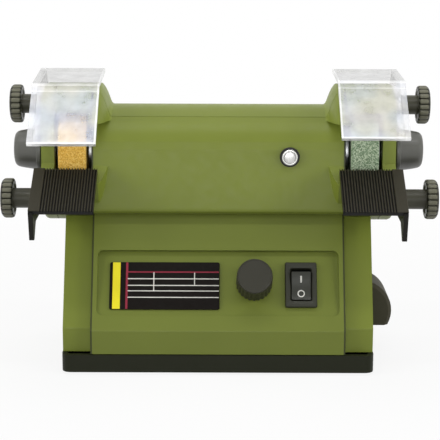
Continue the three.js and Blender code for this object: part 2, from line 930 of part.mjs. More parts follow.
// Wheel guards
function mouth(start, end) {
  const far = guardRadius + guardDrop + overrun;
  return extrudeX(roundedOutline([
    [-mouthFront, far],
    [-far, far],
    [-far, -mouthFloor - far + mouthFront],
    [-mouthFront, -mouthFloor],
  ]), start, end);
}

function wheelGuard() {
  const start = housingHalf + seatGap;
  const rim = guardBlock(0, start, guardOuter);
  const room = guardBlock(-guardWall, start + guardFlange, guardOuter + overrun);
  const eye = guardBlock(-guardWall - guardFlangeWidth, start - overrun, guardOuter);
  return cut(rim, room, eye, mouth(start - overrun, guardOuter + overrun));
}

function guardCover() {
  const start = guardOuter + seatGap;
  const rounds = quarterSteps.map((step) => {
    const angle = (Math.PI / 2) * step;
    return {
      place: coverOuter - coverRound * (1 - Math.sin(angle)),
      ring: guardRing(guardRadius - coverRound * (1 - Math.cos(angle)), guardDrop),
    };
  });
  const dish = loftX([{ place: start, ring: guardRing(guardRadius, guardDrop) }, ...rounds]);
  const recessFloor = start + outerFlangeThickness + guardFlange;
  const recess = rodX(flangeRadius + guardFlange, start - overrun, recessFloor);
  const capHole = rodX(capSpigotRadius + seatGap, start - overrun, coverOuter + overrun);
  const bosses = [
    [upperClamp, shieldOuter - shieldSideWall - seatGap],
    [lowerClamp, restOuter - armThickness - seatGap],
  ].map(([place, end]) => shifted(
    rodX(clampBossRadius, start + guardWall, end, smallSides),
    0,
    place.x,
    place.y,
  ));
  const holes = [upperClamp, lowerClamp].map((place) => shifted(
    rodX(clampHoleRadius, start - overrun, coverOuter + 2 * overrun, smallSides),
    0,
    place.x,
    place.y,
  ));
  const opened = cut(dish, mouth(start - overrun, coverOuter + overrun));
  return cut(join(opened, ...bosses), recess, capHole, ...holes);
}

// Wheels, flanges and nuts
function grindingWheel() {
  const bore = wheelBore / 2;
  const end = wheelInner + wheelWidth;
  return turnX([
    [wheelInner, bore],
    [wheelInner, wheelRadius - wheelEdge],
    [wheelInner + wheelEdge, wheelRadius],
    [end - wheelEdge, wheelRadius],
    [end, wheelRadius - wheelEdge],
    [end, bore],
  ], fineSides);
}

function innerFlange() {
  const disc = wheelInner - seatGap;
  const bore = shaftRadius + seatGap;
  const hub = wheelBore / 2 - seatGap;
  return turnX([
    [bearingInner + bearingWidth + seatGap, bore],
    [bearingInner + bearingWidth + seatGap, sleeveRadius],
    [disc - flangeThickness, sleeveRadius],
    [disc - flangeThickness, flangeRadius],
    [disc, flangeRadius],
    [disc, hub],
    [disc + wheelHubReach, hub],
    [disc + wheelHubReach, bore],
  ]);
}

function outerFlange() {
  const start = wheelInner + wheelWidth + seatGap;
  const dish = outerFlangeThickness / 3;
  return turnX([
    [start, shaftRadius + seatGap],
    [start, flangeRadius],
    [start + outerFlangeThickness - dish, flangeRadius],
    [start + outerFlangeThickness, flangeRadius - 2 * dish],
    [start + outerFlangeThickness, shaftRadius + seatGap],
  ]);
}

function spindleNut() {
  const start = wheelInner + wheelWidth + 2 * seatGap + outerFlangeThickness;
  const corner = nutFlats / 2 / Math.cos(Math.PI / 6);
  const hexagon = guardRing(corner, 0, hexSides);
  const nut = loftX([{ place: start, ring: hexagon }, { place: start + nutHeight, ring: hexagon }]);
  return cut(nut, rodX(shaftRadius + seatGap, start - overrun, start + 2 * nutHeight, smallSides));
}

// Spindle
function spindleShaft() {
  const shoulder = bearingInner - seatGap;
  const thread = capFlangeStart;
  return turnX([
    [-shaftTip, 0],
    [-shaftTip, shaftTipRadius],
    [-thread, shaftTipRadius],
    [-thread, shaftRadius],
    [-shoulder, shaftRadius],
    [-shoulder, shaftShoulder],
    [shoulder, shaftShoulder],
    [shoulder, shaftRadius],
    [thread, shaftRadius],
    [thread, shaftTipRadius],
    [shaftTip, shaftTipRadius],
    [shaftTip, 0],
  ]);
}

function ballBearing() {
  const bore = shaftRadius + runningGap;
  const end = bearingInner + bearingWidth;
  return turnX([
    [bearingInner, bore],
    [bearingInner, innerRaceRadius],
    [bearingInner + raceGroove, innerRaceRadius],
    [bearingInner + raceGroove, outerRaceRadius],
    [bearingInner, outerRaceRadius],
    [bearingInner, bearingRadius],
    [end, bearingRadius],
    [end, outerRaceRadius],
    [end - raceGroove, outerRaceRadius],
    [end - raceGroove, innerRaceRadius],
    [end, innerRaceRadius],
    [end, bore],
  ]);
}

// A toothed ring outline: each tooth has a flat top and each gap a flat floor
function toothedRing(radius, depth, gapWidth, teeth) {
  const ring = [];
  const half = Math.asin(gapWidth / 2 / radius);
  const floorHalf = Math.asin(gapWidth / 2 / (radius - depth));
  for (let i = 0; i < teeth; i += 1) {
    const middle = (2 * Math.PI * i) / teeth;
    for (const [angle, reach] of [[-half, 0], [-floorHalf, depth], [floorHalf, depth], [half, 0]]) {
      const r = radius - reach;
      ring.push(new THREE.Vector2(r * Math.cos(middle + angle), r * Math.sin(middle + angle)));
    }
  }
  return ring;
}

function armatureCore() {
  const ring = toothedRing(armatureRadius, armatureSlotDepth, armatureSlotWidth, armatureSlots);
  const core = loftX([{ place: stackStart, ring }, { place: stackEnd, ring }]);
  const winding = turnX([
    [stackStart - windingReach, 0],
    [stackStart - windingReach, windingRadius - windingReach / 2],
    [stackStart - windingReach / 2, windingRadius],
    [stackEnd + windingReach / 2, windingRadius],
    [stackEnd + windingReach, windingRadius - windingReach / 2],
    [stackEnd + windingReach, 0],
  ], smallSides);
  const bore = rodX(shaftShoulder + seatGap, stackStart - 2 * windingReach, stackEnd + 2 * windingReach);
  return cut(join(core, winding), bore);
}

function commutator() {
  const ring = toothedRing(commutatorRadius, commutatorGroove, commutatorGroove, commutatorBars);
  const drum = loftX([{ place: commutatorStart, ring }, { place: commutatorEnd, ring }]);
  return cut(drum, rodX(shaftShoulder + seatGap, commutatorStart - overrun, commutatorEnd + overrun));
}

function lockCollar() {
  const start = lockX - collarWidth / 2;
  const ring = toothedRing(collarRadius, notchDepth, notchWidth, notches);
  const collar = loftX([{ place: start, ring }, { place: start + collarWidth, ring }]);
  return cut(collar, rodX(shaftShoulder + seatGap, start - overrun, start + collarWidth + overrun));
}

function coolingFan() {
  const hub = rodX(fanHub, fanStart, fanStart + fanWidth, smallSides);
  const web = rodX(fanRadius, fanStart, fanStart + fanBladeThickness, roundSides);
  const bladeLength = fanRadius - fanHub + fanBladeThickness;
  const all = [];
  for (let i = 0; i < fanBlades; i += 1) {
    const blade = new THREE.BoxGeometry(fanWidth, bladeLength, fanBladeThickness);
    blade.translate(fanStart + fanWidth / 2, 0, 0);
    blade.rotateX(fanTwist);
    blade.translate(0, (fanHub + fanRadius - fanBladeThickness) / 2, 0);
    blade.rotateX((2 * Math.PI * i) / fanBlades);
    all.push(toSolid(blade));
  }
  const bore = rodX(shaftShoulder + seatGap, fanStart - overrun, fanStart + fanWidth + overrun);
  const rim = rodX(fanRadius, fanStart, fanStart + fanWidth, fineSides);
  return cut(join(hub, web, ...all.map((blade) => blade.intersect(rim))), bore);
}

// Motor: a two pole stator with a saddle coil over each pole
function poleWedge(start, end, side) {
  const reach = 2 * statorRadius;
  const half = reach * Math.tan(poleHalfAngle);
  return extrudeX(roundedOutline([[0, 0], [half, side * reach], [-half, side * reach]]), start, end);
}

function motorStator() {
  const stack = rodX(statorRadius, stackStart, stackEnd, fineSides);
  const pockets = cut(
    rodX(statorBore + coilDepth, stackStart - overrun, stackEnd + overrun),
    poleWedge(stackStart - 2 * overrun, stackEnd + 2 * overrun, 1),
    poleWedge(stackStart - 2 * overrun, stackEnd + 2 * overrun, -1),
  );
  return cut(stack, rodX(statorBore, stackStart - overrun, stackEnd + overrun), pockets);
}

function fieldCoil(side) {
  const start = stackStart - coilOverhang;
  const end = stackEnd + coilOverhang;
  const ring = turnX([
    [start, statorBore + seatGap],
    [start, statorBore + coilDepth - seatGap],
    [end, statorBore + coilDepth - seatGap],
    [end, statorBore + seatGap],
  ]);
  const reach = statorRadius;
  const low = side > 0 ? coilGap / 2 : -reach;
  const half = block(start, end, -reach, reach, low, low + reach - coilGap / 2);
  const pole = poleWedge(stackStart - seatGap, stackEnd + seatGap, side);
  return cut(ring.intersect(half), shifted(pole, 0, 0, -side * seatGap * 2));
}

function brushHolder(side) {
  const middle = (commutatorStart + commutatorEnd) / 2;
  const half = brushHolderWidth / 2;
  const brushHalf = brushWidth / 2;
  const near = commutatorRadius + seatGap;
  const start = commutatorStart + seatGap;
  const holder = block(
    commutatorStart - seatGap / 2,
    middle + half,
    -half,
    half,
    brushHolderStart,
    brushHolderEnd,
  );
  const brush = block(start, middle + brushHalf, -brushHalf, brushHalf, near, brushHolderStart + bite);
  return moved(join(holder, brush), new THREE.Matrix4().makeRotationX(side * Math.PI / 2));
}

// Lock button and its bush, drawn along Z and turned to point at the user
const lockFrame = new THREE.Matrix4().makeRotationX(Math.PI / 2).setPosition(lockX, 0, 0);

function lockBush() {
  const face = tubeRadius + bushRimStand;
  const bore = lockHeadRadius + seatGap / 2;
  const guide = lockPinRadius + seatGap;
  const rear = tubeRadius - bushLength;
  return moved(turnZ([
    [face + bushRimHeight, bore],
    [face + bushRimHeight, bushRimRadius],
    [face, bushRimRadius],
    [face, bushRadius],
    [rear, bushRadius],
    [rear, guide],
    [rear + bushFloor, guide],
    [rear + bushFloor, bore],
  ]), lockFrame);
}

function lockButton() {
  const face = tubeRadius + lockStand;
  const back = face - lockHeadLength;
  const tip = collarRadius + lockTipGap;
  return moved(turnZ([
    [tip, 0],
    [tip, lockPinRadius],
    [back, lockPinRadius],
    [back, lockHeadRadius],
    [face - lockEdge, lockHeadRadius],
    [face, lockHeadRadius - lockEdge],
    [face, lockDomeRadius],
    [face + lockDomeHeight, lockDomeRadius - lockEdge],
    [face + lockDomeHeight, 0],
  ]), lockFrame);
}

// Panel pieces, drawn in the panel frame
function speedKnob() {
  const top = knobLift + speedKnobHeight;
  const rings = [
    { place: knobLift, ring: ribbedRing(speedKnobRadius, speedKnobRib, speedKnobRibs) },
    { place: top - speedKnobChamfer, ring: ribbedRing(speedKnobTopRadius, speedKnobRib, speedKnobRibs) },
    { place: top, ring: ribbedRing(speedKnobTopRadius - speedKnobChamfer, 0, speedKnobRibs) },
  ];
  const upright = new THREE.Matrix4().makeRotationY(-Math.PI / 2);
  const knob = moved(loftX(rings), upright);
  return join(knob, rodZ(stemRadius, -stemReach, knobLift + bite, smallSides));
}

function potentiometer() {
  const front = -shellWall - seatGap;
  const back = front - potDepth;
  const bore = stemRadius + seatGap;
  const lug = block(
    -potLugWidth / 2,
    potLugWidth / 2,
    -potRadius - potLugReach,
    0,
    back,
    back + potLugThickness,
  );
  const can = turnZ([
    [-seatGap, bore],
    [-seatGap, potBushRadius],
    [front, potBushRadius],
    [front, potRadius],
    [back, potRadius],
    [back, 0],
    [-stemReach - seatGap, 0],
    [-stemReach - seatGap, bore],
  ]);
  return join(can, cut(lug, rodZ(potRadius - bite, back - overrun, overrun, smallSides)));
}

function controlBoard() {
  const front = -shellWall - potDepth - 2 * seatGap;
  const back = front - boardThickness;
  const half = boardHeight / 2;
  const board = block(-boardWidth / 2, boardWidth / 2, -half, half, back, front);
  const capacitor = shifted(
    rodZ(capacitorRadius, back - capacitorLength, back + bite, smallSides),
    -boardWidth / 4,
    0,
    0,
  );
  const heatSinks = [boardWidth / 4, -boardWidth / 2 + bite].map((x) => block(
    x,
    x + sinkWidth,
    -half / 2,
    half / 2,
    back - sinkHeight,
    back + bite,
  ));
  return join(board, capacitor, ...heatSinks);
}

function switchBody() {
  const face = seatGap + bezelThickness;
  const cavityWidth = rockerWidth + 2 * rockerClearance;
  const cavityHalfHeight = rockerHalf + rockerEndRoom;
  const floor = -rockerPivotDepth - rockerKeel - rockerRoom;
  const bezel = extrudeZ(rectangle(bezelWidth, bezelHeight, bezelCorner), seatGap, face);
  const body = extrudeZ(rectangle(switchBodyWidth, switchBodyHeight), -switchDepth, face - bite);
  const cavity = extrudeZ(rectangle(cavityWidth, 2 * cavityHalfHeight, bezelCorner), floor, face + overrun);
  const blades = [-1, 0, 1].map((place) => {
    const y = (place * switchBodyHeight) / 3;
    return block(
      -bladeWidth / 2,
      bladeWidth / 2,
      y - bladeThickness / 2,
      y + bladeThickness / 2,
      -switchDepth - bladeLength,
      -switchDepth + bite,
    );
  });
  return join(cut(join(bezel, body), cavity), ...blades);
}

function switchRocker() {
  const crestHalf = rockerHalf - rockerClearance;
  const outline = roundedOutline([
    [-crestHalf, rockerCrest, rockerEdge],
    [0, rockerCrest - rockerDish, rockerDishRadius],
    [crestHalf, rockerCrest, rockerEdge],
    [rockerHalf, 0],
    [rockerKeelHalf, -rockerKeel],
    [-rockerKeelHalf, -rockerKeel],
    [-rockerHalf, 0],
  ].reverse());
  const rocker = extrudeX(outline, -rockerWidth / 2, rockerWidth / 2);
  const tilt = new THREE.Matrix4().makeRotationX(rockerTilt).setPosition(0, 0, -rockerPivotDepth);
  return moved(rocker, tilt);
}

function ratingPlate() {
  return extrudeZ(rectangle(plateWidth, plateHeight, plateCorner), seatGap, seatGap + plateThickness);
}

// Clamp knobs, guides, rests and shields, drawn for the right hand side
function clampKnob(stemStart, outer) {
  const start = outer - clampKnobWidth;
  const head = (place, radius, rib) => ({ place, ring: ribbedRing(radius, rib, clampKnobRibs) });
  const rings = [
    head(start, clampKnobRadius - clampKnobRound / 2, clampKnobRib),
    head(start + clampKnobRound / 2, clampKnobRadius, clampKnobRib),
    head(outer - clampKnobRound, clampKnobRadius, clampKnobRib),
    head(outer, clampKnobRadius - clampKnobRound, 0),
  ];
  const dish = rodX(clampDishRadius, start - overrun, start + clampDishDepth, smallSides);
  return join(
    cut(loftX(rings), dish),
    rodX(clampStemRadius, stemStart, start + clampDishDepth + bite, smallSides),
    rodX(clampScrewRadius, clampScrewEnd, stemStart + bite, smallSides),
  );
}

// A washer with a flat sided block that runs in the slot and keeps the arm from turning on it
function slotGuide(slotStart, armFace, angle) {
  const seat = armFace + seatGap;
  const disc = rodX(guideRadius, seat, seat + guideThickness);
  const key = block(slotStart, seat + guideThickness / 2, -guideHalf, guideHalf, -guideHalf, guideHalf);
  const turned = moved(key, new THREE.Matrix4().makeRotationX(angle));
  const bore = rodX(guideBore, slotStart - overrun, armFace + overrun, smallSides);
  return cut(join(disc, turned), bore);
}

function slotCut(from, to, start, end) {
  const along = to.clone().sub(from);
  const half = guideHalf + seatGap / 2;
  const reach = along.length() + 2 * half;
  const key = new THREE.BoxGeometry(end - start, reach, 2 * half);
  key.rotateX(Math.atan2(along.y, along.x));
  key.translate((start + end) / 2, (from.x + to.x) / 2, (from.y + to.y) / 2);
  return toSolid(key);
}

const restAlong = new THREE.Vector2(-Math.cos(restSlope), -Math.sin(restSlope));
const restUp = new THREE.Vector2(-Math.sin(restSlope), Math.cos(restSlope));

// Shares of the rib pitch and of the rib's height, round one groove
const grooveShares = [[0.8, 0], [0.7, 1], [0.3, 1], [0.2, 0]];

// The rest's table: ribs run from back to front, with a plain margin over the arm
function restTable() {
  const ribs = Math.floor((restOuter - restMargin - restInner) / restRibPitch);
  const outline = [[restInner, -restThickness], [restOuter, -restThickness], [restOuter, 0]];
  for (let i = ribs - 1; i >= 0; i -= 1) {
    for (const [share, depth] of grooveShares) {
      outline.push([restInner + restRibPitch * (i + share), -restRibHeight * depth]);
    }
  }
  outline.push([restInner, 0]);
  const table = extrudeZ(roundedOutline(outline), 0, restLength);
  const frame = new THREE.Matrix4().makeBasis(
    new THREE.Vector3(1, 0, 0),
    new THREE.Vector3(0, restUp.x, restUp.y),
    new THREE.Vector3(0, restAlong.x, restAlong.y),
  );
  return moved(table, frame.setPosition(0, restBack.x, restBack.y));
}

function workRest() {
  const front = restBack.clone().addScaledVector(restAlong, restLength);
  const eye = lowerClamp.clone().addScaledVector(restAlong, -restTravel);
  const across = new THREE.Vector2(-restUp.x, -restUp.y);
  const eyeEnd = eye.clone().addScaledVector(restAlong, -restEye);
  const under = eye.clone().addScaledVector(across, armFall);
  const tip = new THREE.Vector2(front.x + armTipBack, front.y - armTipDrop);
  const arm = roundedOutline([
    [restBack.x, restBack.y - restThickness / 2],
    [front.x, front.y - restThickness / 2],
    [front.x + armTipRound, front.y - restThickness - armSlack],
    [tip.x - armTipWidth / 2, tip.y, armTipRound],
    [tip.x + armTipWidth / 2, tip.y, armTipRound],
    [tip.x + armCrook, tip.y + armCrook],
    [under.x - restTravel, under.y - armSlack],
    [under.x, under.y, armRound],
    [eyeEnd.x + across.x * restEye, eyeEnd.y + across.y * restEye, armEyeRound],
    [eyeEnd.x - across.x * restEye, eyeEnd.y - across.y * restEye, armEyeRound],
    [restBack.x + armCrook, restBack.y - armShoulderDrop, armShoulderRound],
  ].reverse());
  const plate = extrudeX(arm, restOuter - armThickness, restOuter);
  const near = lowerClamp.clone().addScaledVector(restAlong, restRelief);
  const slot = slotCut(near, eye, restOuter - armThickness - overrun, restOuter + overrun);
  return cut(join(restTable(), plate), slot);
}

function eyeShield() {
  const hood = [shieldBack, shieldBend, shieldLip].map((point) => [point.x, point.y]);
  const inner = insetPolyline(hood, shieldWall);
  const clear = roundedOutline([
    hood[0],
    [...hood[1], shieldBendRound],
    hood[2],
    inner[2],
    [...inner[1], shieldBendRound - shieldWall],
    inner[0],
  ].reverse());
  const eyeRear = upperClamp.x + shieldTravel + shieldEye;
  const eyeFloor = upperClamp.y - shieldEye - guideHalf;
  const side = roundedOutline([
    [shieldBack.x, shieldBack.y - shieldWall / 2],
    [shieldBend.x, shieldBend.y - shieldWall / 2],
    [shieldLip.x + shieldWall, shieldLip.y],
    [shieldLip.x + 2 * shieldWall, shieldSideFloor],
    [-shieldFrontBack, shieldSideFloor, shieldFrontRound],
    [-shieldCrestBack, shieldCrestFloor, shieldEdgeRound],
    [upperClamp.x - shieldEye, eyeFloor, shieldEdgeRound],
    [eyeRear, eyeFloor, shieldEdgeRound],
    [eyeRear, upperClamp.y + shieldEye + guideHalf, shieldEdgeRound],
  ]);
  const plate = extrudeX(side, shieldOuter - shieldSideWall, shieldOuter);
  const rear = upperClamp.clone().add(new THREE.Vector2(shieldTravel, 0));
  const slot = slotCut(upperClamp, rear, shieldOuter - shieldSideWall - overrun, shieldOuter + overrun);
  return cut(join(extrudeX(clear, shieldInner, shieldOuter), plate), slot);
}

// The line of points moved inward, towards the spindle, by a wall
function insetPolyline(points, wall) {
  const first = new THREE.Vector2(...points[0]);
  const middle = new THREE.Vector2(...points[1]);
  const last = new THREE.Vector2(...points[2]);
  const normalOf = (from, to) => {
    const along = to.clone().sub(from).normalize();
    return new THREE.Vector2(-along.y, along.x).multiplyScalar(wall);
  };
  const one = normalOf(first, middle);
  const two = normalOf(middle, last);
  const half = one.clone().add(two).normalize();
  const bend = middle.clone().addScaledVector(half, (wall * wall) / half.dot(one));
  const start = first.clone().add(one);
  const end = last.clone().add(two);
  return [[start.x, start.y], [bend.x, bend.y], [end.x, end.y]];
}

function spindleCap() {
  const inside = capSpigotRadius - capWall;
  const tipInside = capTipRadius - capWall;
  return turnX([
    [capSpigotStart, inside],
    [capSpigotStart, capSpigotRadius],
    [capFlangeStart, capSpigotRadius],
    [capFlangeStart, capFlangeRadius],
    [capFloor, capFlangeRadius],
    [capFloor, capRadius],
    [capEnd - capRound, capTipRadius + capEdge],
    [capEnd - capEdge, capTipRadius - capEdge],
    [capEnd, capTipRadius - capRound],
    [capEnd, 0],
    [capEnd - capWall, 0],
    [capEnd - capWall, tipInside - capRound],
    [capEnd - capWall - capEdge, tipInside - capEdge],
    [capFloor, inside],
  ]);
}

function leadEntryHood() {
  const drum = (wall, round) => {
    const front = hoodFront + wall;
    const rear = hoodRear - wall;
    const turned = turnZ([
      [front, 0],
      [front, hoodRadius - wall - round],
      [front + round, hoodRadius - wall],
      [rear - round, hoodRadius - wall],
      [rear, hoodRadius - wall - round],
      [rear, 0],
    ], fineSides);
    return moved(turned, new THREE.Matrix4().makeRotationX(-Math.PI / 2).setPosition(hoodX, 0, hoodZ));
  };
  const far = hoodX + hoodRadius + overrun;
  const keep = block(bodyHalf + seatGap, far, hoodFront - overrun, hoodRear + overrun, hoodFloor, 0);
  const room = block(
    bodyHalf - overrun,
    far,
    hoodFront,
    hoodRear,
    hoodFloor + shellWall,
    0,
  );
  const leadHole = moved(
    rodZ(leadHoleRadius, 0, hoodRear + overrun),
    new THREE.Matrix4().makeRotationX(-Math.PI / 2).setPosition(bodyHalf + hoodRadius / 3, 0, hoodZ),
  );
  return cut(drum(0, hoodRound).intersect(keep), drum(shellWall, 0).intersect(room), leadHole);
}

// Colours and finishes
const green = new THREE.MeshStandardMaterial({ color: 0x76803f, roughness: 0.55 });
const black = new THREE.MeshStandardMaterial({ color: 0x2d2d29, roughness: 0.5 });
const greyPlastic = new THREE.MeshStandardMaterial({ color: 0x3e3d36, roughness: 0.45 });
const rubber = new THREE.MeshStandardMaterial({ color: 0x1c1c1c, roughness: 0.9 });
const steel = new THREE.MeshStandardMaterial({ color: 0xb9bcc0, roughness: 0.3, metalness: 1 });
const ironStack = new THREE.MeshStandardMaterial({ color: 0x7d8085, roughness: 0.45, metalness: 1 });
const copper = new THREE.MeshStandardMaterial({ color: 0xb8743c, roughness: 0.35, metalness: 1 });
const brass = new THREE.MeshStandardMaterial({ color: 0xc2a050, roughness: 0.35, metalness: 1 });
const ochreGrit = new THREE.MeshStandardMaterial({ color: 0xc9a34c, roughness: 0.95 });
const greenGrit = new THREE.MeshStandardMaterial({ color: 0x859680, roughness: 0.95 });
const boardGreen = new THREE.MeshStandardMaterial({ color: 0x2f6b45, roughness: 0.6 });
const clearPlastic = new THREE.MeshStandardMaterial({
  color: 0xd9dde4,
  roughness: 0.1,
  transparent: true,
  opacity: 0.35,
});

// Assembly
function addPiece(parent, name, solid, material) {
  const mesh = new THREE.Mesh(toGeometry(solid), material);
  mesh.name = name;
  parent.add(mesh);
  return mesh;
}

function addBase(machine) {
  addPiece(machine, 'base_plate', basePlate(), black);
  const corners = ['front_left', 'front_right', 'rear_left', 'rear_right'];
  corners.forEach((corner, i) => {
    const [x, y] = footPlaces()[i];
    addPiece(machine, `foot_${corner}`, foot(), rubber).position.set(x, y, 0);
    const [screwX, screwY] = screwPlaces()[i];
    addPiece(machine, `base_screw_${corner}`, baseScrew(), steel).position.set(screwX, screwY, 0);
  });
}

function addHousing(machine) {
  const outside = bodyOutside();
  const inside = bodyInside(shellWall);
  addPiece(machine, 'main_housing', mainHousing(outside, inside), green);
  addPiece(machine, 'front_cover', frontCover(outside, inside), green);
  addPiece(machine, 'lead_entry_hood', leadEntryHood(), black);
}

function addMotor(machine) {
  addPiece(machine, 'motor_stator', motorStator(), ironStack);
  addPiece(machine, 'upper_field_coil', fieldCoil(1), copper);
  addPiece(machine, 'lower_field_coil', fieldCoil(-1), copper);
  addPiece(machine, 'front_brush_holder', brushHolder(1), brass);
  addPiece(machine, 'rear_brush_holder', brushHolder(-1), brass);
}

function addSpindle(machine) {
  addPiece(machine, 'spindle_shaft', spindleShaft(), steel);
  addPiece(machine, 'armature_core', armatureCore(), ironStack);
  addPiece(machine, 'commutator', commutator(), copper);
  addPiece(machine, 'lock_collar', lockCollar(), steel);
  addPiece(machine, 'cooling_fan', coolingFan(), greyPlastic);
}

function addLock(machine) {
  addPiece(machine, 'lock_bush', lockBush(), black);
  addPiece(machine, 'lock_button', lockButton(), steel);
}

function addPanel(machine) {
  const panel = new THREE.Group();
  panel.applyMatrix4(panelFrame);
  machine.add(panel);
  addPiece(panel, 'rating_plate', ratingPlate(), black).position.set(plateX, -plateDrop, 0);
  addPiece(panel, 'speed_knob', speedKnob(), greyPlastic).position.set(speedKnobX, 0, 0);
  addPiece(panel, 'potentiometer', potentiometer(), steel).position.set(speedKnobX, 0, 0);
  addPiece(panel, 'control_board', controlBoard(), boardGreen).position.set(boardX, 0, 0);
  addPiece(panel, 'switch_body', switchBody(), black).position.set(switchX, -switchDrop, 0);
  addPiece(panel, 'switch_rocker', switchRocker(), greyPlastic).position.set(switchX, -switchDrop, 0);
}

// One wheel station; the left one is the right one mirrored
function addStation(machine, side, sign, grit, shieldLift) {
  const place = (name, solid, material) => {
    const seated = sign > 0 ? solid : mirroredX(solid);
    return addPiece(machine, `${side}_${name}`, seated, material);
  };
  const atClamp = (name, solid, material, clamp) => {
    place(name, solid, material).position.set(0, clamp.x, clamp.y);
  };
  place('bearing', ballBearing(), steel);
  place('wheel_guard', wheelGuard(), green);
  place('guard_cover', guardCover(), green);
  place('grinding_wheel', grindingWheel(), grit);
  place('inner_flange', innerFlange(), steel);
  place('outer_flange', outerFlange(), steel);
  place('spindle_nut', spindleNut(), steel);
  place('spindle_cap', spindleCap(), greyPlastic);
  place('work_rest', workRest(), black);
  const lift = new THREE.Matrix4().makeTranslation(0, upperClamp.x, upperClamp.y);
  lift.multiply(new THREE.Matrix4().makeRotationX(-shieldLift));
  lift.multiply(new THREE.Matrix4().makeTranslation(0, -upperClamp.x, -upperClamp.y));
  place('eye_shield', moved(eyeShield(), lift), clearPlastic);
  const restSlot = restOuter - armThickness + seatGap;
  const shieldSlot = shieldOuter - shieldSideWall + seatGap;
  const stemGap = 2 * seatGap + guideThickness;
  atClamp('rest_guide', slotGuide(restSlot, restOuter, restSlope), steel, lowerClamp);
  atClamp('shield_guide', slotGuide(shieldSlot, shieldOuter, -shieldLift), steel, upperClamp);
  const knobOuter = clampKnobOuter - (sign > 0 ? 0 : leftKnobSunk);
  atClamp('rest_knob', clampKnob(restOuter + stemGap, knobOuter), greyPlastic, lowerClamp);
  atClamp('shield_knob', clampKnob(shieldOuter + stemGap, knobOuter), greyPlastic, upperClamp);
}

// The origin is on the bench, under the middle of the machine
function standOnBench(machine) {
  machine.updateMatrixWorld(true);
  const box = new THREE.Box3().setFromObject(machine, true);
  machine.position.set(0, -(box.min.y + box.max.y) / 2, spindleHeight);
}

const product = new THREE.Group();
const machine = new THREE.Group();
product.add(machine);
addBase(machine);
addHousing(machine);
addMotor(machine);
addSpindle(machine);
addLock(machine);
addPanel(machine);
addStation(machine, 'left', -1, ochreGrit, 0);
addStation(machine, 'right', 1, greenGrit, rightShieldLift);
standOnBench(machine);

export default product;
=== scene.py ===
"""Looks of a small double wheel grinding and polishing machine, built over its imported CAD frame.

Lengths are in millimetres about the spindle axis (X right, Y away from the user, Z up) until a mesh is
written, and in metres in the materials, lamps and camera.
"""

import json
import math

import bmesh
import bpy
import numpy as np
from mathutils import Matrix, Vector


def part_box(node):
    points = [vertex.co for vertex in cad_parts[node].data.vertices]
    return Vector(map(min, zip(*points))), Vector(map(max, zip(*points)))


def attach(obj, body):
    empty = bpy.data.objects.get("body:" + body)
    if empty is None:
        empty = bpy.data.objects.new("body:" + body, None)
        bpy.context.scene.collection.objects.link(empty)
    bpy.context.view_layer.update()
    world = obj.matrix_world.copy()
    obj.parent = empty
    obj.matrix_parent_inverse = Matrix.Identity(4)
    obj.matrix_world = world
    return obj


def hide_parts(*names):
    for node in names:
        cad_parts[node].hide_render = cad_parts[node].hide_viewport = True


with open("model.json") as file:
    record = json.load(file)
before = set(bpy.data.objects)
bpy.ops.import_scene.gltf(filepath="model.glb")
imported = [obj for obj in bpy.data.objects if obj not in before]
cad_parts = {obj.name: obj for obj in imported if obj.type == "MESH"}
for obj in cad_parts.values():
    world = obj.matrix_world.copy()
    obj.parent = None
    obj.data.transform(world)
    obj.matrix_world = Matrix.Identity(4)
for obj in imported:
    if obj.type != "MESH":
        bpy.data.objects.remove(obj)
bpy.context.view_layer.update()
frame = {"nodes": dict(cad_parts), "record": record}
BODIES = frame["record"]["behaviour"]["bodies"]
BODY_OF = {node: body for body, nodes in BODIES.items() for node in nodes}
SHAFT_LOW, SHAFT_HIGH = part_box("spindle_shaft")
AXIS = np.array([0.0, (SHAFT_LOW.y + SHAFT_HIGH.y) / 2, (SHAFT_LOW.z + SHAFT_HIGH.z) / 2])
SIDES = {"left": -1.0, "right": 1.0}

# Where the control panel lies, and its axes: right, up the slope, out towards the user
PANEL_LEAN = math.radians(29.23)
PANEL_AT = np.array([0.0, -32.5104, -58.984])
PANEL_AXES = np.array([
    [1.0, 0.0, 0.0],
    [0.0, math.sin(PANEL_LEAN), math.cos(PANEL_LEAN)],
    [0.0, -math.cos(PANEL_LEAN), math.sin(PANEL_LEAN)],
])

# Clamp axes as (Y, Z), the place of the switch on the panel, and the tilts at rest
LOWER_CLAMP = (-19.0, -20.7)
UPPER_CLAMP = (19.0, 19.5)
KNOB_END = {"left": 102.8, "right": 104.0}
SWITCH_AT = np.array([39.05, -0.8, 0.0])
ROCKER_TILT = math.radians(9.0)
REST_SLOPE = math.radians(31)
SHIELD_LIFT = {"left": 0.0, "right": math.radians(3)}


# Grids of points

def on_panel(points):
    """Points given as (right, up the slope, out of the panel) in the spindle's frame."""
    return PANEL_AT + points @ PANEL_AXES


def rounded(corners, steps=6):
    """A profile through corners (along, across, round): each round corner becomes the quarter-like arc
    of a quadratic curve P = (1-t)^2 A + 2t(1-t) C + t^2 B from its leaving points A and B."""
    corners = [tuple(c) + (0.0,) * (3 - len(c)) for c in corners]
    points = []
    for i, (x, y, r) in enumerate(corners):
        here = np.array([x, y])
        if r == 0 or i in (0, len(corners) - 1):
            points.append(here[None])
            continue
        back = np.array(corners[i - 1][:2]) - here
        ahead = np.array(corners[i + 1][:2]) - here
        a = here + back * min(r / np.linalg.norm(back), 0.5)
        b = here + ahead * min(r / np.linalg.norm(ahead), 0.5)
        t = np.linspace(0, 1, steps)[:, None]
        points.append((1 - t) ** 2 * a + 2 * t * (1 - t) * here + t**2 * b)
    return np.concatenate(points)


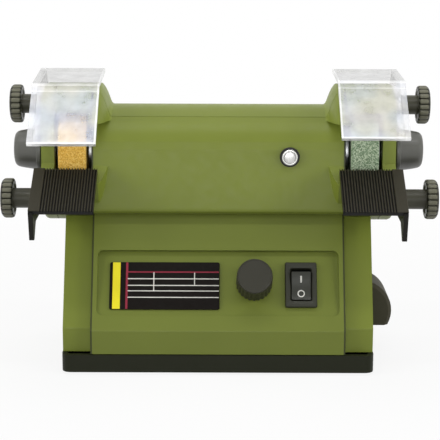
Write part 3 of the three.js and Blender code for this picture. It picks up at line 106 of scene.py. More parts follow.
def finer(profile, longest):
    """The profile with every straight run cut into equal steps no longer than the given length."""
    runs = np.linalg.norm(np.diff(profile, axis=0), axis=1)
    pieces = [
        np.linspace(profile[i], profile[i + 1], max(int(np.ceil(run / longest)), 1), endpoint=False)
        for i, run in enumerate(runs)
    ]
    return np.concatenate(pieces + [profile[-1:]])


def turned(profile, sides=96, ripple=None):
    """A surface of revolution about X: P = (a, r cos t, r sin t) for the profile's (a, r), t once round.
    ripple(a, r, t) adds to the radius."""
    t = np.linspace(0, 2 * np.pi, sides, endpoint=False)
    a = profile[:, :1] + 0 * t
    r = profile[:, 1:] + 0 * t
    if ripple is not None:
        r = np.maximum(r + ripple(a, r, t), 0)
    return np.stack([a, r * np.cos(t), r * np.sin(t)], axis=2)


def outlined(width, height, corner, steps=5):
    """A closed rounded rectangle in two axes: quarter circles of the corner radius joined by
    straights."""
    q = np.linspace(0, np.pi / 2, steps)
    w, h = width / 2 - corner, height / 2 - corner
    return np.concatenate([
        np.stack([sx * w + corner * np.cos(q + turn), sy * h + corner * np.sin(q + turn)], axis=1)
        for sx, sy, turn in ((1, 1, 0), (-1, 1, np.pi / 2), (-1, -1, np.pi), (1, -1, 1.5 * np.pi))
    ])


def pillow(width, height, corner, low, high, edge):
    """A flat plate with a softened rim: rounded rectangles shrink by edge*(1-cos q) while they rise by
    edge*sin q, then close to the middle on the top and on the bottom."""
    rims = [(0.0, low, 0.0), (0.0, low, 1.0)]
    quarter = np.linspace(0, np.pi / 2, 5)
    rims += [(edge * (1 - math.cos(q)), high - edge + edge * math.sin(q), 1.0) for q in quarter]
    rims += [(edge, high, 0.5), (edge, high, 0.0)]
    rings = []
    for inset, rise, share in rims:
        ring = outlined(width - 2 * inset, height - 2 * inset, max(corner - inset, edge / 2)) * share
        rings.append(np.column_stack([ring, np.full(len(ring), rise)]))
    return np.array(rings)


# Meshes

def piece(name, grid, material, body, stands_for=(), around=True):
    """A mesh from a grid of points, closed round its second axis when around is true; both ends of the
    first axis have met in a point or stay a rim. Points become metres in the row's frame."""
    rows, columns = grid.shape[:2]
    index = np.arange(rows * columns).reshape(rows, columns)
    right = np.roll(index, -1, axis=1) if around else index[:, 1:]
    left = index if around else index[:, :-1]
    faces = np.stack([left[:-1], right[:-1], right[1:], left[1:]], axis=2).reshape(-1, 4)
    mesh = bpy.data.meshes.new(name)
    mesh.from_pydata((grid.reshape(-1, 3) / 1000 + AXIS).tolist(), [], faces.tolist())
    shell = bmesh.new()
    shell.from_mesh(mesh)
    bmesh.ops.remove_doubles(shell, verts=shell.verts, dist=1e-6)
    bmesh.ops.dissolve_degenerate(shell, edges=shell.edges, dist=1e-7)
    bmesh.ops.recalc_face_normals(shell, faces=shell.faces)
    shell.to_mesh(mesh)
    shell.free()
    return finish_piece(bpy.data.objects.new(name, mesh), material, body, stands_for)


def finish_piece(obj, material, body, stands_for=(), smooth_angle=38):
    if obj.name not in bpy.context.scene.collection.objects:
        bpy.context.scene.collection.objects.link(obj)
    obj.data.materials.clear()
    obj.data.materials.append(material)
    obj.data.shade_smooth()
    obj.data.set_sharp_from_angle(angle=math.radians(smooth_angle))
    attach(obj, body)
    if stands_for:
        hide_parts(*stands_for)
    return obj


def dressed(node, material, bevel=0.3, segments=2, smooth_angle=30):
    """A finer copy of a CAD node: its triangles are merged into whole faces, its edges get a small round
    and its facets are shaded as one curve."""
    source = frame["nodes"][node]
    mesh = source.data.copy()
    shell = bmesh.new()
    shell.from_mesh(mesh)
    bmesh.ops.remove_doubles(shell, verts=shell.verts, dist=2e-6)
    bmesh.ops.dissolve_limit(
        shell, angle_limit=math.radians(0.4), verts=shell.verts, edges=shell.edges, delimit={"NORMAL"}
    )
    shell.to_mesh(mesh)
    shell.free()
    obj = bpy.data.objects.new(node + "_dressed", mesh)
    finish_piece(obj, material, BODY_OF[node], (node,), smooth_angle)
    if bevel:
        rounder = obj.modifiers.new("edge_round", "BEVEL")
        rounder.width = bevel / 1000
        rounder.segments = segments
        rounder.limit_method = "ANGLE"
        rounder.angle_limit = math.radians(smooth_angle)
        rounder.use_clamp_overlap = True
        rounder.harden_normals = False
    flatter = obj.modifiers.new("face_weights", "WEIGHTED_NORMAL")
    flatter.keep_sharp = True
    flatter.weight = 80
    return obj


# Materials

class Finish:
    """A node material on the Principled shader, patterned on Object coordinates."""

    def __init__(self, name, colour, roughness, metallic=0.0):
        self.material = bpy.data.materials.new(name)
        self.material.use_nodes = True
        self.tree = self.material.node_tree
        self.shader = self.tree.nodes["Principled BSDF"]
        self.shader.inputs["Base Color"].default_value = (*colour, 1)
        self.shader.inputs["Roughness"].default_value = roughness
        self.shader.inputs["Metallic"].default_value = metallic
        self.shader.inputs["Specular IOR Level"].default_value = 0.3
        self.place = self.add("ShaderNodeTexCoord").outputs["Object"]
        self.colour = colour

    def add(self, kind, **settings):
        node = self.tree.nodes.new(kind)
        for key, value in settings.items():
            if key in node.inputs:
                node.inputs[key].default_value = value
            else:
                setattr(node, key, value)
        return node

    def link(self, source, target):
        self.tree.links.new(source, target)

    def noise(self, scale, detail=3.0, rough=0.5):
        node = self.add("ShaderNodeTexNoise", Scale=scale, Detail=detail, Roughness=rough)
        self.link(self.place, node.inputs["Vector"])
        return node.outputs["Fac"]

    def cells(self, scale):
        node = self.add("ShaderNodeTexVoronoi", Scale=scale)
        self.link(self.place, node.inputs["Vector"])
        return node

    def maths(self, operation, first, second=0.0):
        node = self.add("ShaderNodeMath", operation=operation)
        self.link(first, node.inputs[0])
        if isinstance(second, float):
            node.inputs[1].default_value = second
        else:
            self.link(second, node.inputs[1])
        return node.outputs["Value"]

    def ranged(self, source, start, end, low, high):
        """The pattern from start to end, mapped onto low to high and held beyond them."""
        node = self.add("ShaderNodeMapRange")
        for name, value in zip(("From Min", "From Max", "To Min", "To Max"), (start, end, low, high)):
            node.inputs[name].default_value = value
        self.link(source, node.inputs["Value"])
        return node.outputs["Result"]

    def ramp(self, source, stops):
        node = self.add("ShaderNodeValToRGB")
        elements = node.color_ramp.elements
        while len(elements) < len(stops):
            elements.new(0.5)
        for element, (where, colour) in zip(elements, stops):
            element.position = where
            element.color = (*colour, 1)
        self.link(source, node.inputs["Fac"])
        return node.outputs["Color"]

    def blend(self, share, first, second):
        """The first colour where the share is 0, the second where it is 1."""
        node = self.add("ShaderNodeMix", data_type="RGBA")
        self.link(share, node.inputs[0])
        for colour, socket in ((first, node.inputs[6]), (second, node.inputs[7])):
            if isinstance(colour, tuple):
                socket.default_value = (*colour, 1)
            else:
                self.link(colour, socket)
        return node.outputs[2]

    def tint(self, source, spread):
        """Base colour drifts from darker to lighter by the given share as the pattern goes from 0.3
        to 0.7."""
        dark = tuple(c * (1 - spread) for c in self.colour)
        light = tuple(min(c * (1 + spread), 1) for c in self.colour)
        self.link(self.ramp(source, [(0.3, dark), (0.7, light)]), self.shader.inputs["Base Color"])
        return self

    def sheen_map(self, source, low, high):
        self.link(self.ranged(source, 0.3, 0.7, low, high), self.shader.inputs["Roughness"])
        return self

    def bump(self, source, depth_mm, strength=0.5):
        node = self.add("ShaderNodeBump", Strength=strength, Distance=depth_mm / 1000)
        self.link(source, node.inputs["Height"])
        self.link(node.outputs["Normal"], self.shader.inputs["Normal"])
        return self


def paint(name, colour, roughness, grain=0.03, specular=0.3, seam=None):
    """Sprayed paint: an orange peel of half a millimetre and a slow drift of tone. Where a seam is given,
    the paint is darkened within 0.75 mm of it, by |x|, as painted shade of the gap, and darkened a little
    below the crease, at z = 73 mm, as painted shade."""
    finish = Finish(name, colour, roughness)
    finish.shader.inputs["Specular IOR Level"].default_value = specular
    finish.tint(finish.noise(38, 2), 0.035)
    if seam:
        place = finish.add("ShaderNodeSeparateXYZ")
        finish.link(finish.place, place.inputs["Vector"])
        across = finish.maths("ABSOLUTE", place.outputs["X"])
        # painted shade of the gap along the cover's side seams
        gap_shade = finish.ranged(across, seam - 0.0009, seam - 0.0006, 0.0, 0.85)
        unshaded = finish.shader.inputs["Base Color"].links[0].from_socket
        # painted shade below the crease, 19 % towards near black
        crease_shade = finish.ranged(place.outputs["Z"], 0.0722, 0.0745, 0.19, 0.0)
        shaded_low = finish.blend(crease_shade, unshaded, (0.012, 0.014, 0.014))
        finish.link(finish.blend(gap_shade, shaded_low, (0.01, 0.012, 0.005)), finish.shader.inputs["Base Color"])
    finish.sheen_map(finish.noise(260, 3), roughness - 0.05, roughness + 0.06)
    finish.bump(finish.noise(1900, 2), grain, 0.35)
    return finish.material


def moulded(name, colour, roughness, grain=0.02, specular=0.3):
    """Moulded plastic: a fine spark eroded grain, with slightly uneven gloss."""
    finish = Finish(name, colour, roughness)
    finish.shader.inputs["Specular IOR Level"].default_value = specular
    finish.tint(finish.noise(70, 2), 0.05)
    finish.sheen_map(finish.noise(500, 2), roughness - 0.06, roughness + 0.06)
    finish.bump(finish.noise(4200, 1), grain, 0.4)
    return finish.material


def turned_metal(name, colour, roughness, lines=9000.0):
    """Turned or drawn metal: fine rings across X from a stretched noise."""
    finish = Finish(name, colour, roughness, 1.0)
    stretch = finish.add("ShaderNodeMapping")
    stretch.inputs["Scale"].default_value = (lines, 60.0, 60.0)
    finish.link(finish.place, stretch.inputs["Vector"])
    node = finish.add("ShaderNodeTexNoise", Scale=1.0, Detail=2.0)
    finish.link(stretch.outputs["Vector"], node.inputs["Vector"])
    finish.sheen_map(node.outputs["Fac"], roughness - 0.08, roughness + 0.1)
    finish.bump(node.outputs["Fac"], 0.01, 0.3)
    return finish.material


def bonded_grit(name, dark, middle, light, scale):
    """Bonded abrasive: every grain is a cell with its own tone, proud of the pores between the cells."""
    finish = Finish(name, middle, 0.92)
    grains = finish.cells(scale)
    tone = finish.add("ShaderNodeSeparateColor")
    finish.link(grains.outputs["Color"], tone.inputs["Color"])
    colours = finish.ramp(tone.outputs["Red"], [(0.12, dark), (0.5, middle), (0.88, light)])
    finish.link(colours, finish.shader.inputs["Base Color"])
    finish.bump(grains.outputs["Distance"], 0.35, 0.8)
    return finish.material


def clear_plastic(name, lift):
    """Clear plastic: every face lets most light through and mirrors the pale room for the rest, a little
    blurred. Its cut edges, its bend and a scribed line across the front carry painted glints, mirroring
    more and more white. Its veil carries a painted mottled reflection, blotchy and tinted from blue to
    warm, and its roof mirrors a painted grey shade. The places are read with the shield turned back down
    by its lift."""
    finish = Finish(name, (0.95, 0.97, 1.0), 0.42, 1.0)
    pivot = Vector((AXIS + [0, UPPER_CLAMP[0] / 1000, UPPER_CLAMP[1] / 1000]).tolist())
    level = finish.add("ShaderNodeMapping")
    level.inputs["Rotation"].default_value = (lift, 0, 0)
    level.inputs["Location"].default_value = pivot - Matrix.Rotation(lift, 3, "X") @ pivot
    finish.link(finish.place, level.inputs["Vector"])
    place = finish.add("ShaderNodeSeparateXYZ")
    finish.link(level.outputs["Vector"], place.inputs["Vector"])
    across = finish.maths("ABSOLUTE", place.outputs["X"])
    back, height = place.outputs["Y"], place.outputs["Z"]
    front = finish.ranged(back, -0.0095, -0.0105, 0.0, 1.0)
    scribed = finish.maths("ABSOLUTE", finish.maths("SUBTRACT", height, 0.1303))
    # painted glints: the cut edges, the bend and a scribed line across the front mirror more and more white
    inner_rim = finish.ranged(across, 0.0573, 0.0568, 0.0, 0.3)
    outer_wall = finish.ranged(across, 0.0851, 0.0855, 0.0, 0.12)
    lower_rim = finish.ranged(height, 0.1099, 0.1088, 0.0, 0.4)
    bend = finish.maths("MULTIPLY", finish.ranged(height, 0.1324, 0.1328, 0.0, 0.25), front)
    line = finish.maths("MULTIPLY", finish.ranged(scribed, 0.0004, 0.0001, 0.0, 0.15), front)
    rear_rim = finish.ranged(back, 0.0322, 0.0332, 0.0, 0.3)
    rims = inner_rim
    for edge in (outer_wall, lower_rim, bend, line, rear_rim):
        rims = finish.maths("ADD", rims, edge)
    # painted mottled reflection: the veil's strength drifts in blotches
    veil = finish.maths("ADD", finish.ranged(finish.noise(120, 3), 0.35, 0.65, 0.22, 0.38), rims)
    shade = finish.ranged(finish.add("ShaderNodeLightPath").outputs["Is Shadow Ray"], 0.0, 1.0, 1.0, 0.4)
    finish.link(finish.maths("MULTIPLY", veil, shade), finish.shader.inputs["Alpha"])
    # painted mottled reflection, tinted from blue to warm
    mottled_reflection = finish.ramp(finish.noise(70, 1), [
        (0.35, (0.84, 0.88, 1.0)), (0.5, (0.93, 0.94, 1.0)), (0.65, (1.0, 0.97, 0.95)),
    ])
    # painted shade: the roof mirrors a mid grey where the front flap mirrors near white
    roof = finish.blend(front, (0.5, 0.5, 0.49), mottled_reflection)
    # painted glints turn the mirrored colour white
    glint_share = finish.maths("MULTIPLY", rims, 2.5)
    finish.link(finish.blend(glint_share, roof, (1.0, 1.0, 1.0)), finish.shader.inputs["Base Color"])
    return finish.material


def ribbed_paint(name, groove, plain, ridge):
    """Black paint with painted shade in the grooves of the table and a painted highlight on its ridges, by
    the depth under the plane of the ridges: n.P = 94.25 mm with n = (0, -sin 31, cos 31)."""
    finish = Finish(name, plain, 0.42)
    height = finish.add("ShaderNodeVectorMath", operation="DOT_PRODUCT")
    height.inputs[1].default_value = (0, -math.sin(REST_SLOPE), math.cos(REST_SLOPE))
    finish.link(finish.place, height.inputs[0])
    depth = finish.ranged(height.outputs["Value"], 0.09125, 0.09425, 0.0, 1.0)
    # random jitter of where the painted shade and the painted highlight begin
    worn = finish.ranged(finish.noise(420, 3), 0.3, 0.7, -0.04, 0.04)
    # painted shade in the grooves, painted highlight on the ridges
    painted_tones = finish.ramp(
        finish.maths("ADD", depth, worn), [(0.4, plain), (0.55, groove), (0.78, groove), (0.95, ridge)]
    )
    finish.link(painted_tones, finish.shader.inputs["Base Color"])
    finish.shader.inputs["Specular IOR Level"].default_value = 0.22
    finish.sheen_map(finish.noise(260, 3), 0.36, 0.5)
    finish.bump(finish.noise(1900, 2), 0.05, 0.35)
    return finish.material


def gripped_plastic(name, clamp):
    """Moulded plastic of the clamp knobs, with painted shade in its grooves and a painted highlight on its
    ribs, by the distance r = |(y, z)| from the knob's axis."""
    # the groove colour is painted shade and the rib colour a painted highlight
    plain, groove, rib = linear(76, 75, 61), linear(34, 34, 25), linear(108, 107, 90)
    finish = Finish(name, plain, 0.32)
    axis = AXIS + [0, clamp[0] / 1000, clamp[1] / 1000]
    away = finish.add("ShaderNodeVectorMath", operation="SUBTRACT")
    away.inputs[1].default_value = axis.tolist()
    finish.link(finish.place, away.inputs[0])
    flat = finish.add("ShaderNodeVectorMath", operation="MULTIPLY")
    flat.inputs[1].default_value = (0, 1, 1)
    finish.link(away.outputs["Vector"], flat.inputs[0])
    radius = finish.add("ShaderNodeVectorMath", operation="LENGTH")
    finish.link(flat.outputs["Vector"], radius.inputs[0])
    reach = finish.ranged(radius.outputs["Value"], 0.007, 0.0095, 0.0, 1.0)
    # painted shade in the grooves, painted highlight on the rib tops
    painted_tones = finish.ramp(reach, [(0.3, plain), (0.6, groove), (0.75, groove), (0.95, rib)])
    finish.link(painted_tones, finish.shader.inputs["Base Color"])
    finish.sheen_map(finish.noise(500, 2), 0.28, 0.42)
    finish.bump(finish.noise(4200, 1), 0.02, 0.4)
    return finish.material


def linear(*srgb):
    """sRGB bytes to linear shares: c/12.92 below 0.04045, else ((c+0.055)/1.055)^2.4."""
    c = np.array(srgb) / 255
    return tuple(np.where(c <= 0.04045, c / 12.92, ((c + 0.055) / 1.055) ** 2.4).tolist())


OLIVE = linear(118, 129, 50)
GREEN = paint("olive_green_paint", OLIVE, 0.4)
# the cover's paint carries painted shade along its side seams and below the crease
COVER_GREEN = paint("olive_green_cover_paint", OLIVE, 0.4, seam=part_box("front_cover")[1].x)
BLACK_PAINT = paint("satin_black_paint", linear(30, 32, 20), 0.5, specular=0.16)
# the groove colour is painted shade and the ridge colour a painted highlight
REST_BLACK = ribbed_paint("rest_black_paint", linear(4, 4, 3), linear(18, 17, 11), linear(48, 45, 33))
# both knob plastics carry painted shade in their grooves and a painted highlight on their ribs
REST_KNOB = gripped_plastic("rest_knob_plastic", LOWER_CLAMP)
SHIELD_KNOB = gripped_plastic("shield_knob_plastic", UPPER_CLAMP)
DIAL = moulded("dial_plastic", linear(44, 43, 34), 0.45)
CAP = moulded("cap_plastic", linear(76, 76, 70), 0.38, 0.02, 0.8)
SWITCH = moulded("switch_plastic", linear(42, 43, 33), 0.45)
ROCKER = moulded("rocker_plastic", linear(50, 51, 44), 0.38)
PLATE = moulded("plate_black", linear(12, 8, 5), 0.6, 0.01, 0.12)
BUSH = moulded("bush_plastic", linear(30, 30, 28), 0.45)
HOOD = moulded("hood_plastic", linear(64, 62, 50), 0.6, 0.02, 0.15)
RUBBER = moulded("foot_rubber", linear(30, 30, 30), 0.85, 0.05)
STEEL = turned_metal("turned_steel", linear(196, 198, 200), 0.3)
SILVER = turned_metal("button_silver", linear(196, 196, 194), 0.22, 400.0)
IRON = turned_metal("laminated_iron", linear(130, 132, 136), 0.45, 2000.0)
COPPER = turned_metal("varnished_copper", linear(190, 120, 66), 0.35, 1500.0)
BRASS = turned_metal("plain_brass", linear(196, 166, 90), 0.35)
FAN = moulded("fan_plastic", linear(70, 70, 68), 0.5)
BOARD = moulded("circuit_board", linear(48, 106, 70), 0.5)
OCHRE = bonded_grit(
    "ochre_grit", linear(212, 158, 58), linear(236, 188, 84), linear(248, 212, 120), 2200
)
GREY_GREEN = bonded_grit(
    "grey_green_grit", linear(104, 128, 98), linear(148, 168, 138), linear(198, 210, 182), 2300
)
CLEAR = {side: clear_plastic(f"clear_plastic_{side}", lift) for side, lift in SHIELD_LIFT.items()}
MARK_WHITE = moulded("mark_white", linear(225, 224, 216), 0.5, 0.005)
MARK_RED = moulded("mark_red", linear(140, 40, 58), 0.5, 0.005)
MARK_YELLOW = moulded("mark_yellow", linear(240, 226, 44), 0.45, 0.005)


# Spindle, wheels and caps

def wheel(side, sign, grit):
    """A plain wheel: a rectangle with a 0.6 mm worn edge turned about X, its rim worn in by up to
    0.08 mm."""
    inner, width, bore, radius = 62.3, 13.0, 6.35, 25.0
    outer = inner + width
    corners = [(inner, bore), (inner, radius, 0.6), (outer, radius, 0.6), (outer, bore), (inner, bore)]
    profile = finer(rounded(corners, 4), 1.0)
    rough = np.random.default_rng(5).normal(0, 0.04, (len(profile), 180))

    def worn(a, r, t):
        return np.where(r > radius - 1.5, np.clip(rough, -0.08, 0.0), 0.0)

    grid = turned(profile, 180, worn) * [sign, 1, 1]
    piece(f"{side}_wheel", grid, grit, "spindle", (f"{side}_grinding_wheel",))


def cap(side, sign):
    """A hollow cone cap: flange, tapered body and a domed nose turned about X, back inside to the
    spigot."""
    corners = [
        (80.4, 8.0), (80.4, 9.4, 0.3), (85.0, 9.4), (85.0, 12.0, 0.5), (87.2, 12.0, 0.5),
        (87.2, 10.05, 0.4), (92.5, 9.5, 3.0), (98.1, 8.4, 2.4), (98.75, 4.8, 2.6), (98.8, 0.0),
    ]
    outer = rounded(corners, 8)
    inner = rounded([(97.4, 0.0), (97.4, 5.2, 1.2), (96.6, 6.4, 1.0), (87.2, 8.0), (80.4, 8.0)], 5)
    profile = np.concatenate([inner, outer])
    piece(f"{side}_cap", turned(finer(profile, 2.0), 96) * [sign, 1, 1], CAP, f"{side}_spindle_cap",
          (f"{side}_spindle_cap",))


def clamp_knob(side, sign, name, stem_start, at, plastic):
    """A gripped knob: a turned profile whose head is cut by twenty grooves,
    r + depth*(|cos 10t|^0.4 - 1), faded out on the face and the back."""
    end = KNOB_END[side]
    start, radius, ribs, depth = end - 5.9, 9.5, 20, 0.9
    corners = [
        (79.5, 0.0), (79.5, 2.4, 0.4), (stem_start, 2.4), (stem_start, 4.75, 0.3), (start + 0.6, 4.75, 0.4),
        (start + 0.6, 6.8, 0.3), (start, 7.1, 0.3), (start, 8.9, 0.5), (start + 0.8, radius, 0.6),
        (end - 1.5, radius, 0.8), (end - 0.1, 8.1, 0.7), (end - 0.1, 6.6, 0.3), (end - 0.8, 6.2, 0.3),
        (end - 1.0, 0.0),
    ]
    profile = finer(rounded(corners, 6), 0.7)

    def grip(a, r, t):
        fade = np.clip((r - 7.6) / 1.2, 0, 1) * (a > start - 0.1)
        return fade * depth * (np.abs(np.cos(ribs * t / 2)) ** 0.4 - 1)

    grid = (turned(profile, 240, grip) + [0, at[0], at[1]]) * [sign, 1, 1]
    piece(f"{side}_{name}_grip", grid, plastic, f"{side}_{name}", (f"{side}_{name}",))


def lock_set():
    """The lock button and its bush: profiles turned about X, then laid along Y at the button's place."""
    def facing(profile, sides=96):
        a, u, v = np.moveaxis(turned(profile, sides), 2, 0)
        return np.stack([33.5 + u, -a, v], axis=2)

    button = rounded([
        (10.2, 0.0), (10.2, 2.0, 0.3), (21.3, 2.0), (21.3, 3.8), (24.6, 3.8, 0.5), (24.6, 2.95, 0.2),
        (24.35, 2.85, 0.1), (24.35, 2.7, 0.1), (25.0, 2.6, 0.3), (25.1, 0.0),
    ], 5)
    piece("lock_button_face", facing(button), SILVER, "lock_button", ("lock_button",))
    bush = rounded([
        (15.4, 2.3), (15.4, 4.2, 0.2), (22.8, 4.2), (22.8, 4.7), (23.4, 4.7, 0.3), (23.4, 3.95),
        (16.9, 3.95), (16.9, 2.3), (15.4, 2.3),
    ], 5)
    piece("lock_bush_ring", facing(bush), BUSH, "housing", ("lock_bush",))


# Control panel

def speed_knob():
    """The speed dial: a turned profile with 24 shallow flutes below a plain face with a raised rim."""
    corners = [
        (-8.0, 0.0), (-8.0, 2.9, 0.3), (0.6, 2.9), (0.6, 8.6, 0.3), (13.7, 8.4, 0.4), (14.6, 8.05, 0.4),
        (14.6, 7.75, 0.2), (14.25, 7.4, 0.3), (14.2, 0.0),
    ]
    profile = finer(rounded(corners, 5), 1.0)

    def flutes(a, r, t):
        fade = np.clip((r - 8.0) / 0.25, 0, 1) * np.clip((13.9 - a) / 0.8, 0, 1)
        return -0.5 * fade * np.abs(np.sin(12 * t)) ** 3

    a, u, v = np.moveaxis(turned(profile, 240, flutes), 2, 0)
    grid = on_panel(np.stack([17.0 + u, v, a], axis=2))
    piece("speed_dial", grid, DIAL, "speed_knob", ("speed_knob",))


def switch_frame():
    """The switch's rim and case: rounded rectangles carried outward over the rim, down into the well,
    and round the case below the panel."""
    levels = [
        (12.6, 18.6, 0.3, -13.0, 0.0), (12.6, 18.6, 0.3, -13.0, 1.0), (12.6, 18.6, 0.3, 0.3, 1.0),
        (15.0, 21.8, 0.9, 0.3, 1.0), (15.0, 21.8, 0.9, 1.5, 1.0), (14.86, 21.66, 0.9, 1.85, 1.0),
        (14.3, 21.1, 0.7, 2.1, 1.0), (10.9, 16.5, 1.1, 2.1, 1.0), (10.3, 15.9, 1.0, 1.9, 1.0),
        (9.7, 15.3, 0.9, 1.4, 1.0), (9.7, 15.3, 0.9, -6.0, 1.0), (9.7, 15.3, 0.9, -6.0, 0.0),
    ]
    rings = []
    for width, height, corner, rise, share in levels:
        ring = outlined(width, height, corner) * share
        rings.append(np.column_stack([ring, np.full(len(ring), rise)]))
    grid = on_panel(np.array(rings) + SWITCH_AT)
    piece("switch_frame", grid, SWITCH, "housing", ("switch_body",))


def crest(v):
    """Height of the rocker's face over its pivot: 5.2 at both ends, dished by 1.3 along a parabola."""
    return 5.2 - 1.3 * (1 - np.clip(np.abs(v) / 6.6, 0, 1) ** 2)


def tilted(points):
    """Points (right, up, out) about the rocker's pivot, turned by its rest tilt and set on the panel."""
    x, y, z = np.moveaxis(points, -1, 0)
    c, s = math.cos(ROCKER_TILT), math.sin(ROCKER_TILT)
    return on_panel(np.stack([x, y * c - z * s, y * s + z * c - 2.0], axis=-1) + SWITCH_AT)


def rocker():
    """The rocker: its dished side outline, softened at the crest's two ends, drawn across and closed at
    each side by rows that close on the outline's middle."""
    v = np.linspace(-6.6, 6.6, 33)
    face = np.stack([v, crest(v)], axis=1)
    under = rounded([(6.6, 5.2), (6.9, 0.0), (4.8, -2.6), (-4.8, -2.6), (-6.9, 0.0), (-6.6, 5.2)], 4)[1:-1]
    outline = np.concatenate([face, finer(under, 1.0)])
    middle = np.array([0.0, 1.5])
    left_side = [(-4.55, 0.0), (-4.55, 0.93), (-4.4, 0.98), (-4.15, 1.0)]
    right_side = [(-x, share) for x, share in reversed(left_side)]
    rows = []
    for x, share in left_side + right_side:
        ring = middle + (outline - middle) * share
        rows.append(np.column_stack([np.full(len(ring), x), ring]))
    grid = tilted(np.array(rows))
    piece("rocker_key", grid, ROCKER, "switch_rocker", ("switch_rocker",))


def rocker_marks():
    """The two switch marks: a bar, and a ring between radii 1.2 and 1.75 mm, both on the dished face."""
    def raised(flat):
        low = np.concatenate([flat, crest(flat[..., 1:2]) - 0.1], axis=-1)
        high = np.concatenate([flat, crest(flat[..., 1:2]) + 0.06], axis=-1)
        return low, high

    ring = []
    t = np.linspace(0, 2 * np.pi, 64, endpoint=False)
    for radius, top in ((1.2, 0), (1.75, 0), (1.75, 1), (1.2, 1), (1.2, 0)):
        flat = np.stack([radius * np.cos(t), -3.7 + radius * np.sin(t)], axis=1)
        ring.append(raised(flat)[top])
    piece("switch_mark_ring", tilted(np.array(ring)), MARK_WHITE, "switch_rocker")
    bar = []
    rim = outlined(0.75, 3.3, 0.3)
    for share, top in ((0, 0), (1, 0), (1, 1), (0, 1)):
        bar.append(raised(rim * share + [0, 3.1])[top])
    piece("switch_mark_bar", tilted(np.array(bar)), MARK_WHITE, "switch_rocker")


def rating_plate():
    """A plain black plate with softened edges. Its lines are bare rules; nothing is written on it."""
    grid = pillow(51.8, 23.0, 1.0, 0.3, 0.9, 0.2) + [-25.2, -1.3, 0]
    piece("blank_plate", on_panel(grid), PLATE, "housing", ("rating_plate",))
    rules = [
        ("strip_yellow", MARK_YELLOW, -47.9, -1.3, 3.6, 22.6),
        ("rule_red_upright", MARK_RED, -43.0, -1.3, 1.0, 22.6),
        ("rule_red_level", MARK_RED, -21.1, 5.35, 43.0, 0.6),
        ("rule_white_1", MARK_WHITE, -21.1, 2.05, 43.0, 0.45),
        ("rule_white_2", MARK_WHITE, -21.1, -1.17, 43.0, 0.45),
        ("rule_white_3", MARK_WHITE, -21.1, -3.84, 43.0, 0.45),
        ("rule_white_4", MARK_WHITE, -21.1, -6.96, 43.0, 0.45),
        ("rule_white_5", MARK_WHITE, -30.3, 0.7, 0.45, 9.0),
        ("rule_white_6", MARK_WHITE, -11.1, 2.0, 0.45, 6.2),
    ]
    for i, (name, mark, x, y, width, height) in enumerate(rules):
        grid = pillow(width, height, 0.1, 0.8, 0.95 + 0.004 * i, 0.02) + [x, y, 0]
        piece(name, on_panel(grid), mark, "housing")


# Build

for side, sign in SIDES.items():
    wheel(side, sign, OCHRE if side == "left" else GREY_GREEN)
    cap(side, sign)
    clamp_knob(side, sign, "rest_knob", 88.1, LOWER_CLAMP, REST_KNOB)
    clamp_knob(side, sign, "shield_knob", 89.7, UPPER_CLAMP, SHIELD_KNOB)
    dressed(f"{side}_wheel_guard", GREEN, 0.3)
    dressed(f"{side}_guard_cover", GREEN, 0.4)
    dressed(f"{side}_work_rest", REST_BLACK, 0.12)
    dressed(f"{side}_eye_shield", CLEAR[side], 0.25)
    for node in ("inner_flange", "outer_flange", "spindle_nut", "rest_guide", "shield_guide", "bearing"):
        dressed(f"{side}_{node}", STEEL, 0.15)
lock_set()
speed_knob()
switch_frame()
rocker()
rocker_marks()
rating_plate()
dressed("main_housing", GREEN, 0.35)
dressed("front_cover", COVER_GREEN, 0.45)
dressed("base_plate", BLACK_PAINT, 0.4)
dressed("lead_entry_hood", HOOD, 0.4)
dressed("spindle_shaft", STEEL, 0.2)

# CAD nodes that stay as they are and only get a finish
KEPT = {
    "motor_stator": IRON, "upper_field_coil": COPPER, "lower_field_coil": COPPER,
    "front_brush_holder": BRASS, "rear_brush_holder": BRASS, "armature_core": IRON,
    "commutator": COPPER, "lock_collar": STEEL, "cooling_fan": FAN, "potentiometer": STEEL,
    "control_board": BOARD,
}
CORNERS = ("front_left", "front_right", "rear_left", "rear_right")
KEPT |= {f"foot_{corner}": RUBBER for corner in CORNERS}
KEPT |= {f"base_screw_{corner}": STEEL for corner in CORNERS}
for node, material in KEPT.items():
    mesh = frame["nodes"][node].data
    mesh.materials.clear()
    mesh.materials.append(material)


# Stage, light and camera

def stage():
    """A pale floor that the camera, mirrors and glass see as nearly white near the object and as white from
    0.42 m on, so that only the object's soft shadow shows."""
    mesh = bpy.data.meshes.new("floor")
    mesh.from_pydata([(-4, -3, 0), (4, -3, 0), (4, 5, 0), (-4, 5, 0)], [], [(0, 1, 2, 3)])
    floor = bpy.data.objects.new("floor", mesh)
    bpy.context.scene.collection.objects.link(floor)
    finish = Finish("pale_floor", (0.86, 0.86, 0.86), 0.9)
    glow = finish.add("ShaderNodeEmission", Strength=1.0)
    path = finish.add("ShaderNodeLightPath")
    seen = finish.maths("MAXIMUM", path.outputs["Is Camera Ray"], path.outputs["Is Transmission Ray"])
    seen = finish.maths("MAXIMUM", seen, path.outputs["Is Glossy Ray"])
    greys = finish.ramp(seen, [(0.0, (0.35, 0.35, 0.35)), (1.0, (0.9, 0.9, 0.9))])
    finish.link(greys, finish.shader.inputs["Base Color"])
    mix = finish.add("ShaderNodeMixShader")
    far = finish.add("ShaderNodeVectorMath", operation="LENGTH")
    finish.link(finish.place, far.inputs[0])
    glowing = finish.ranged(far.outputs["Value"], 0.16, 0.42, 0.88, 1.0)
    finish.link(finish.maths("MULTIPLY", seen, glowing), mix.inputs["Fac"])
    finish.link(finish.shader.outputs["BSDF"], mix.inputs[1])
    finish.link(glow.outputs["Emission"], mix.inputs[2])
    finish.link(mix.outputs["Shader"], finish.tree.nodes["Material Output"].inputs["Surface"])
    mesh.materials.append(finish.material)


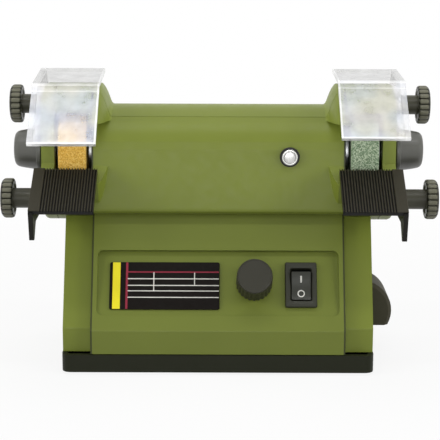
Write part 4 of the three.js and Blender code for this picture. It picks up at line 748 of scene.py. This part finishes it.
def sky():
    """A white world for the camera, mirrors and glass, and a plain soft light for everything else."""
    world = bpy.data.worlds.new("studio")
    bpy.context.scene.world = world
    world.use_nodes = True
    tree = world.node_tree
    light = tree.nodes["Background"]
    light.inputs["Color"].default_value = (1, 1, 1, 1)
    light.inputs["Strength"].default_value = 0.04
    white = tree.nodes.new("ShaderNodeBackground")
    white.inputs["Color"].default_value = (1, 1, 1, 1)
    white.inputs["Strength"].default_value = 1.0
    path = tree.nodes.new("ShaderNodeLightPath")
    mix = tree.nodes.new("ShaderNodeMixShader")
    seen = path.outputs["Is Camera Ray"]
    for ray in ("Is Transmission Ray", "Is Glossy Ray"):
        either = tree.nodes.new("ShaderNodeMath")
        either.operation = "MAXIMUM"
        tree.links.new(seen, either.inputs[0])
        tree.links.new(path.outputs[ray], either.inputs[1])
        seen = either.outputs["Value"]
    tree.links.new(seen, mix.inputs["Fac"])
    tree.links.new(light.outputs["Background"], mix.inputs[1])
    tree.links.new(white.outputs["Background"], mix.inputs[2])
    tree.links.new(mix.outputs["Shader"], tree.nodes["World Output"].inputs["Surface"])


AIM = (0, 0, 0.1)


def lamp(name, place, size, power, mirrored=True):
    """A soft light, so wide and so high, at a place in metres, aimed at the object. Shiny faces show it
    when mirrored is true."""
    light = bpy.data.lights.new(name, "AREA")
    light.shape = "RECTANGLE"
    light.size, light.size_y = size
    light.energy = power
    obj = bpy.data.objects.new(name, light)
    way = (np.array(AIM) - np.array(place)).tolist()
    obj.location = place
    obj.visible_glossy = mirrored
    obj.rotation_euler = Vector(way).to_track_quat("-Z", "Y").to_euler()
    bpy.context.scene.collection.objects.link(obj)


def camera():
    """The photograph's view: 12 degrees above the horizon, 0.7 m from the spindle's axis."""
    sensor, focal_pixels, photo_pixels = 36.0, 1442, 440
    data = bpy.data.cameras.new("photo_view")
    data.sensor_width = sensor
    data.lens = sensor * focal_pixels / photo_pixels
    data.clip_start = 0.01
    obj = bpy.data.objects.new("photo_view", data)
    obj.location = np.array([0.0008, -0.6919, 0.1119]) + AXIS
    obj.rotation_mode = "XYZ"
    tilt = Matrix.Rotation(math.radians(78), 3, "X")
    roll = Matrix.Rotation(math.radians(0.2), 3, "Z")
    obj.rotation_euler = (tilt @ roll).to_euler()
    bpy.context.scene.collection.objects.link(obj)
    bpy.context.scene.camera = obj


stage()
sky()
lamp("overhead", (0, 0.2, 0.6), (0.5, 0.5), 1.85, mirrored=False)
for side, sign in SIDES.items():
    lamp(f"{side}_softbox", (0.8 * sign, -0.35, 0.3), (0.5, 0.5), 4.6, mirrored=False)
lamp("front_fill", (0, -0.9, 0.2), (0.36, 0.36), 1.35)
lamp("highlight_strip", (0, -0.27, 0.7), (0.9, 0.05), 1.5)
camera()
bpy.context.scene.view_settings.view_transform = "Standard"
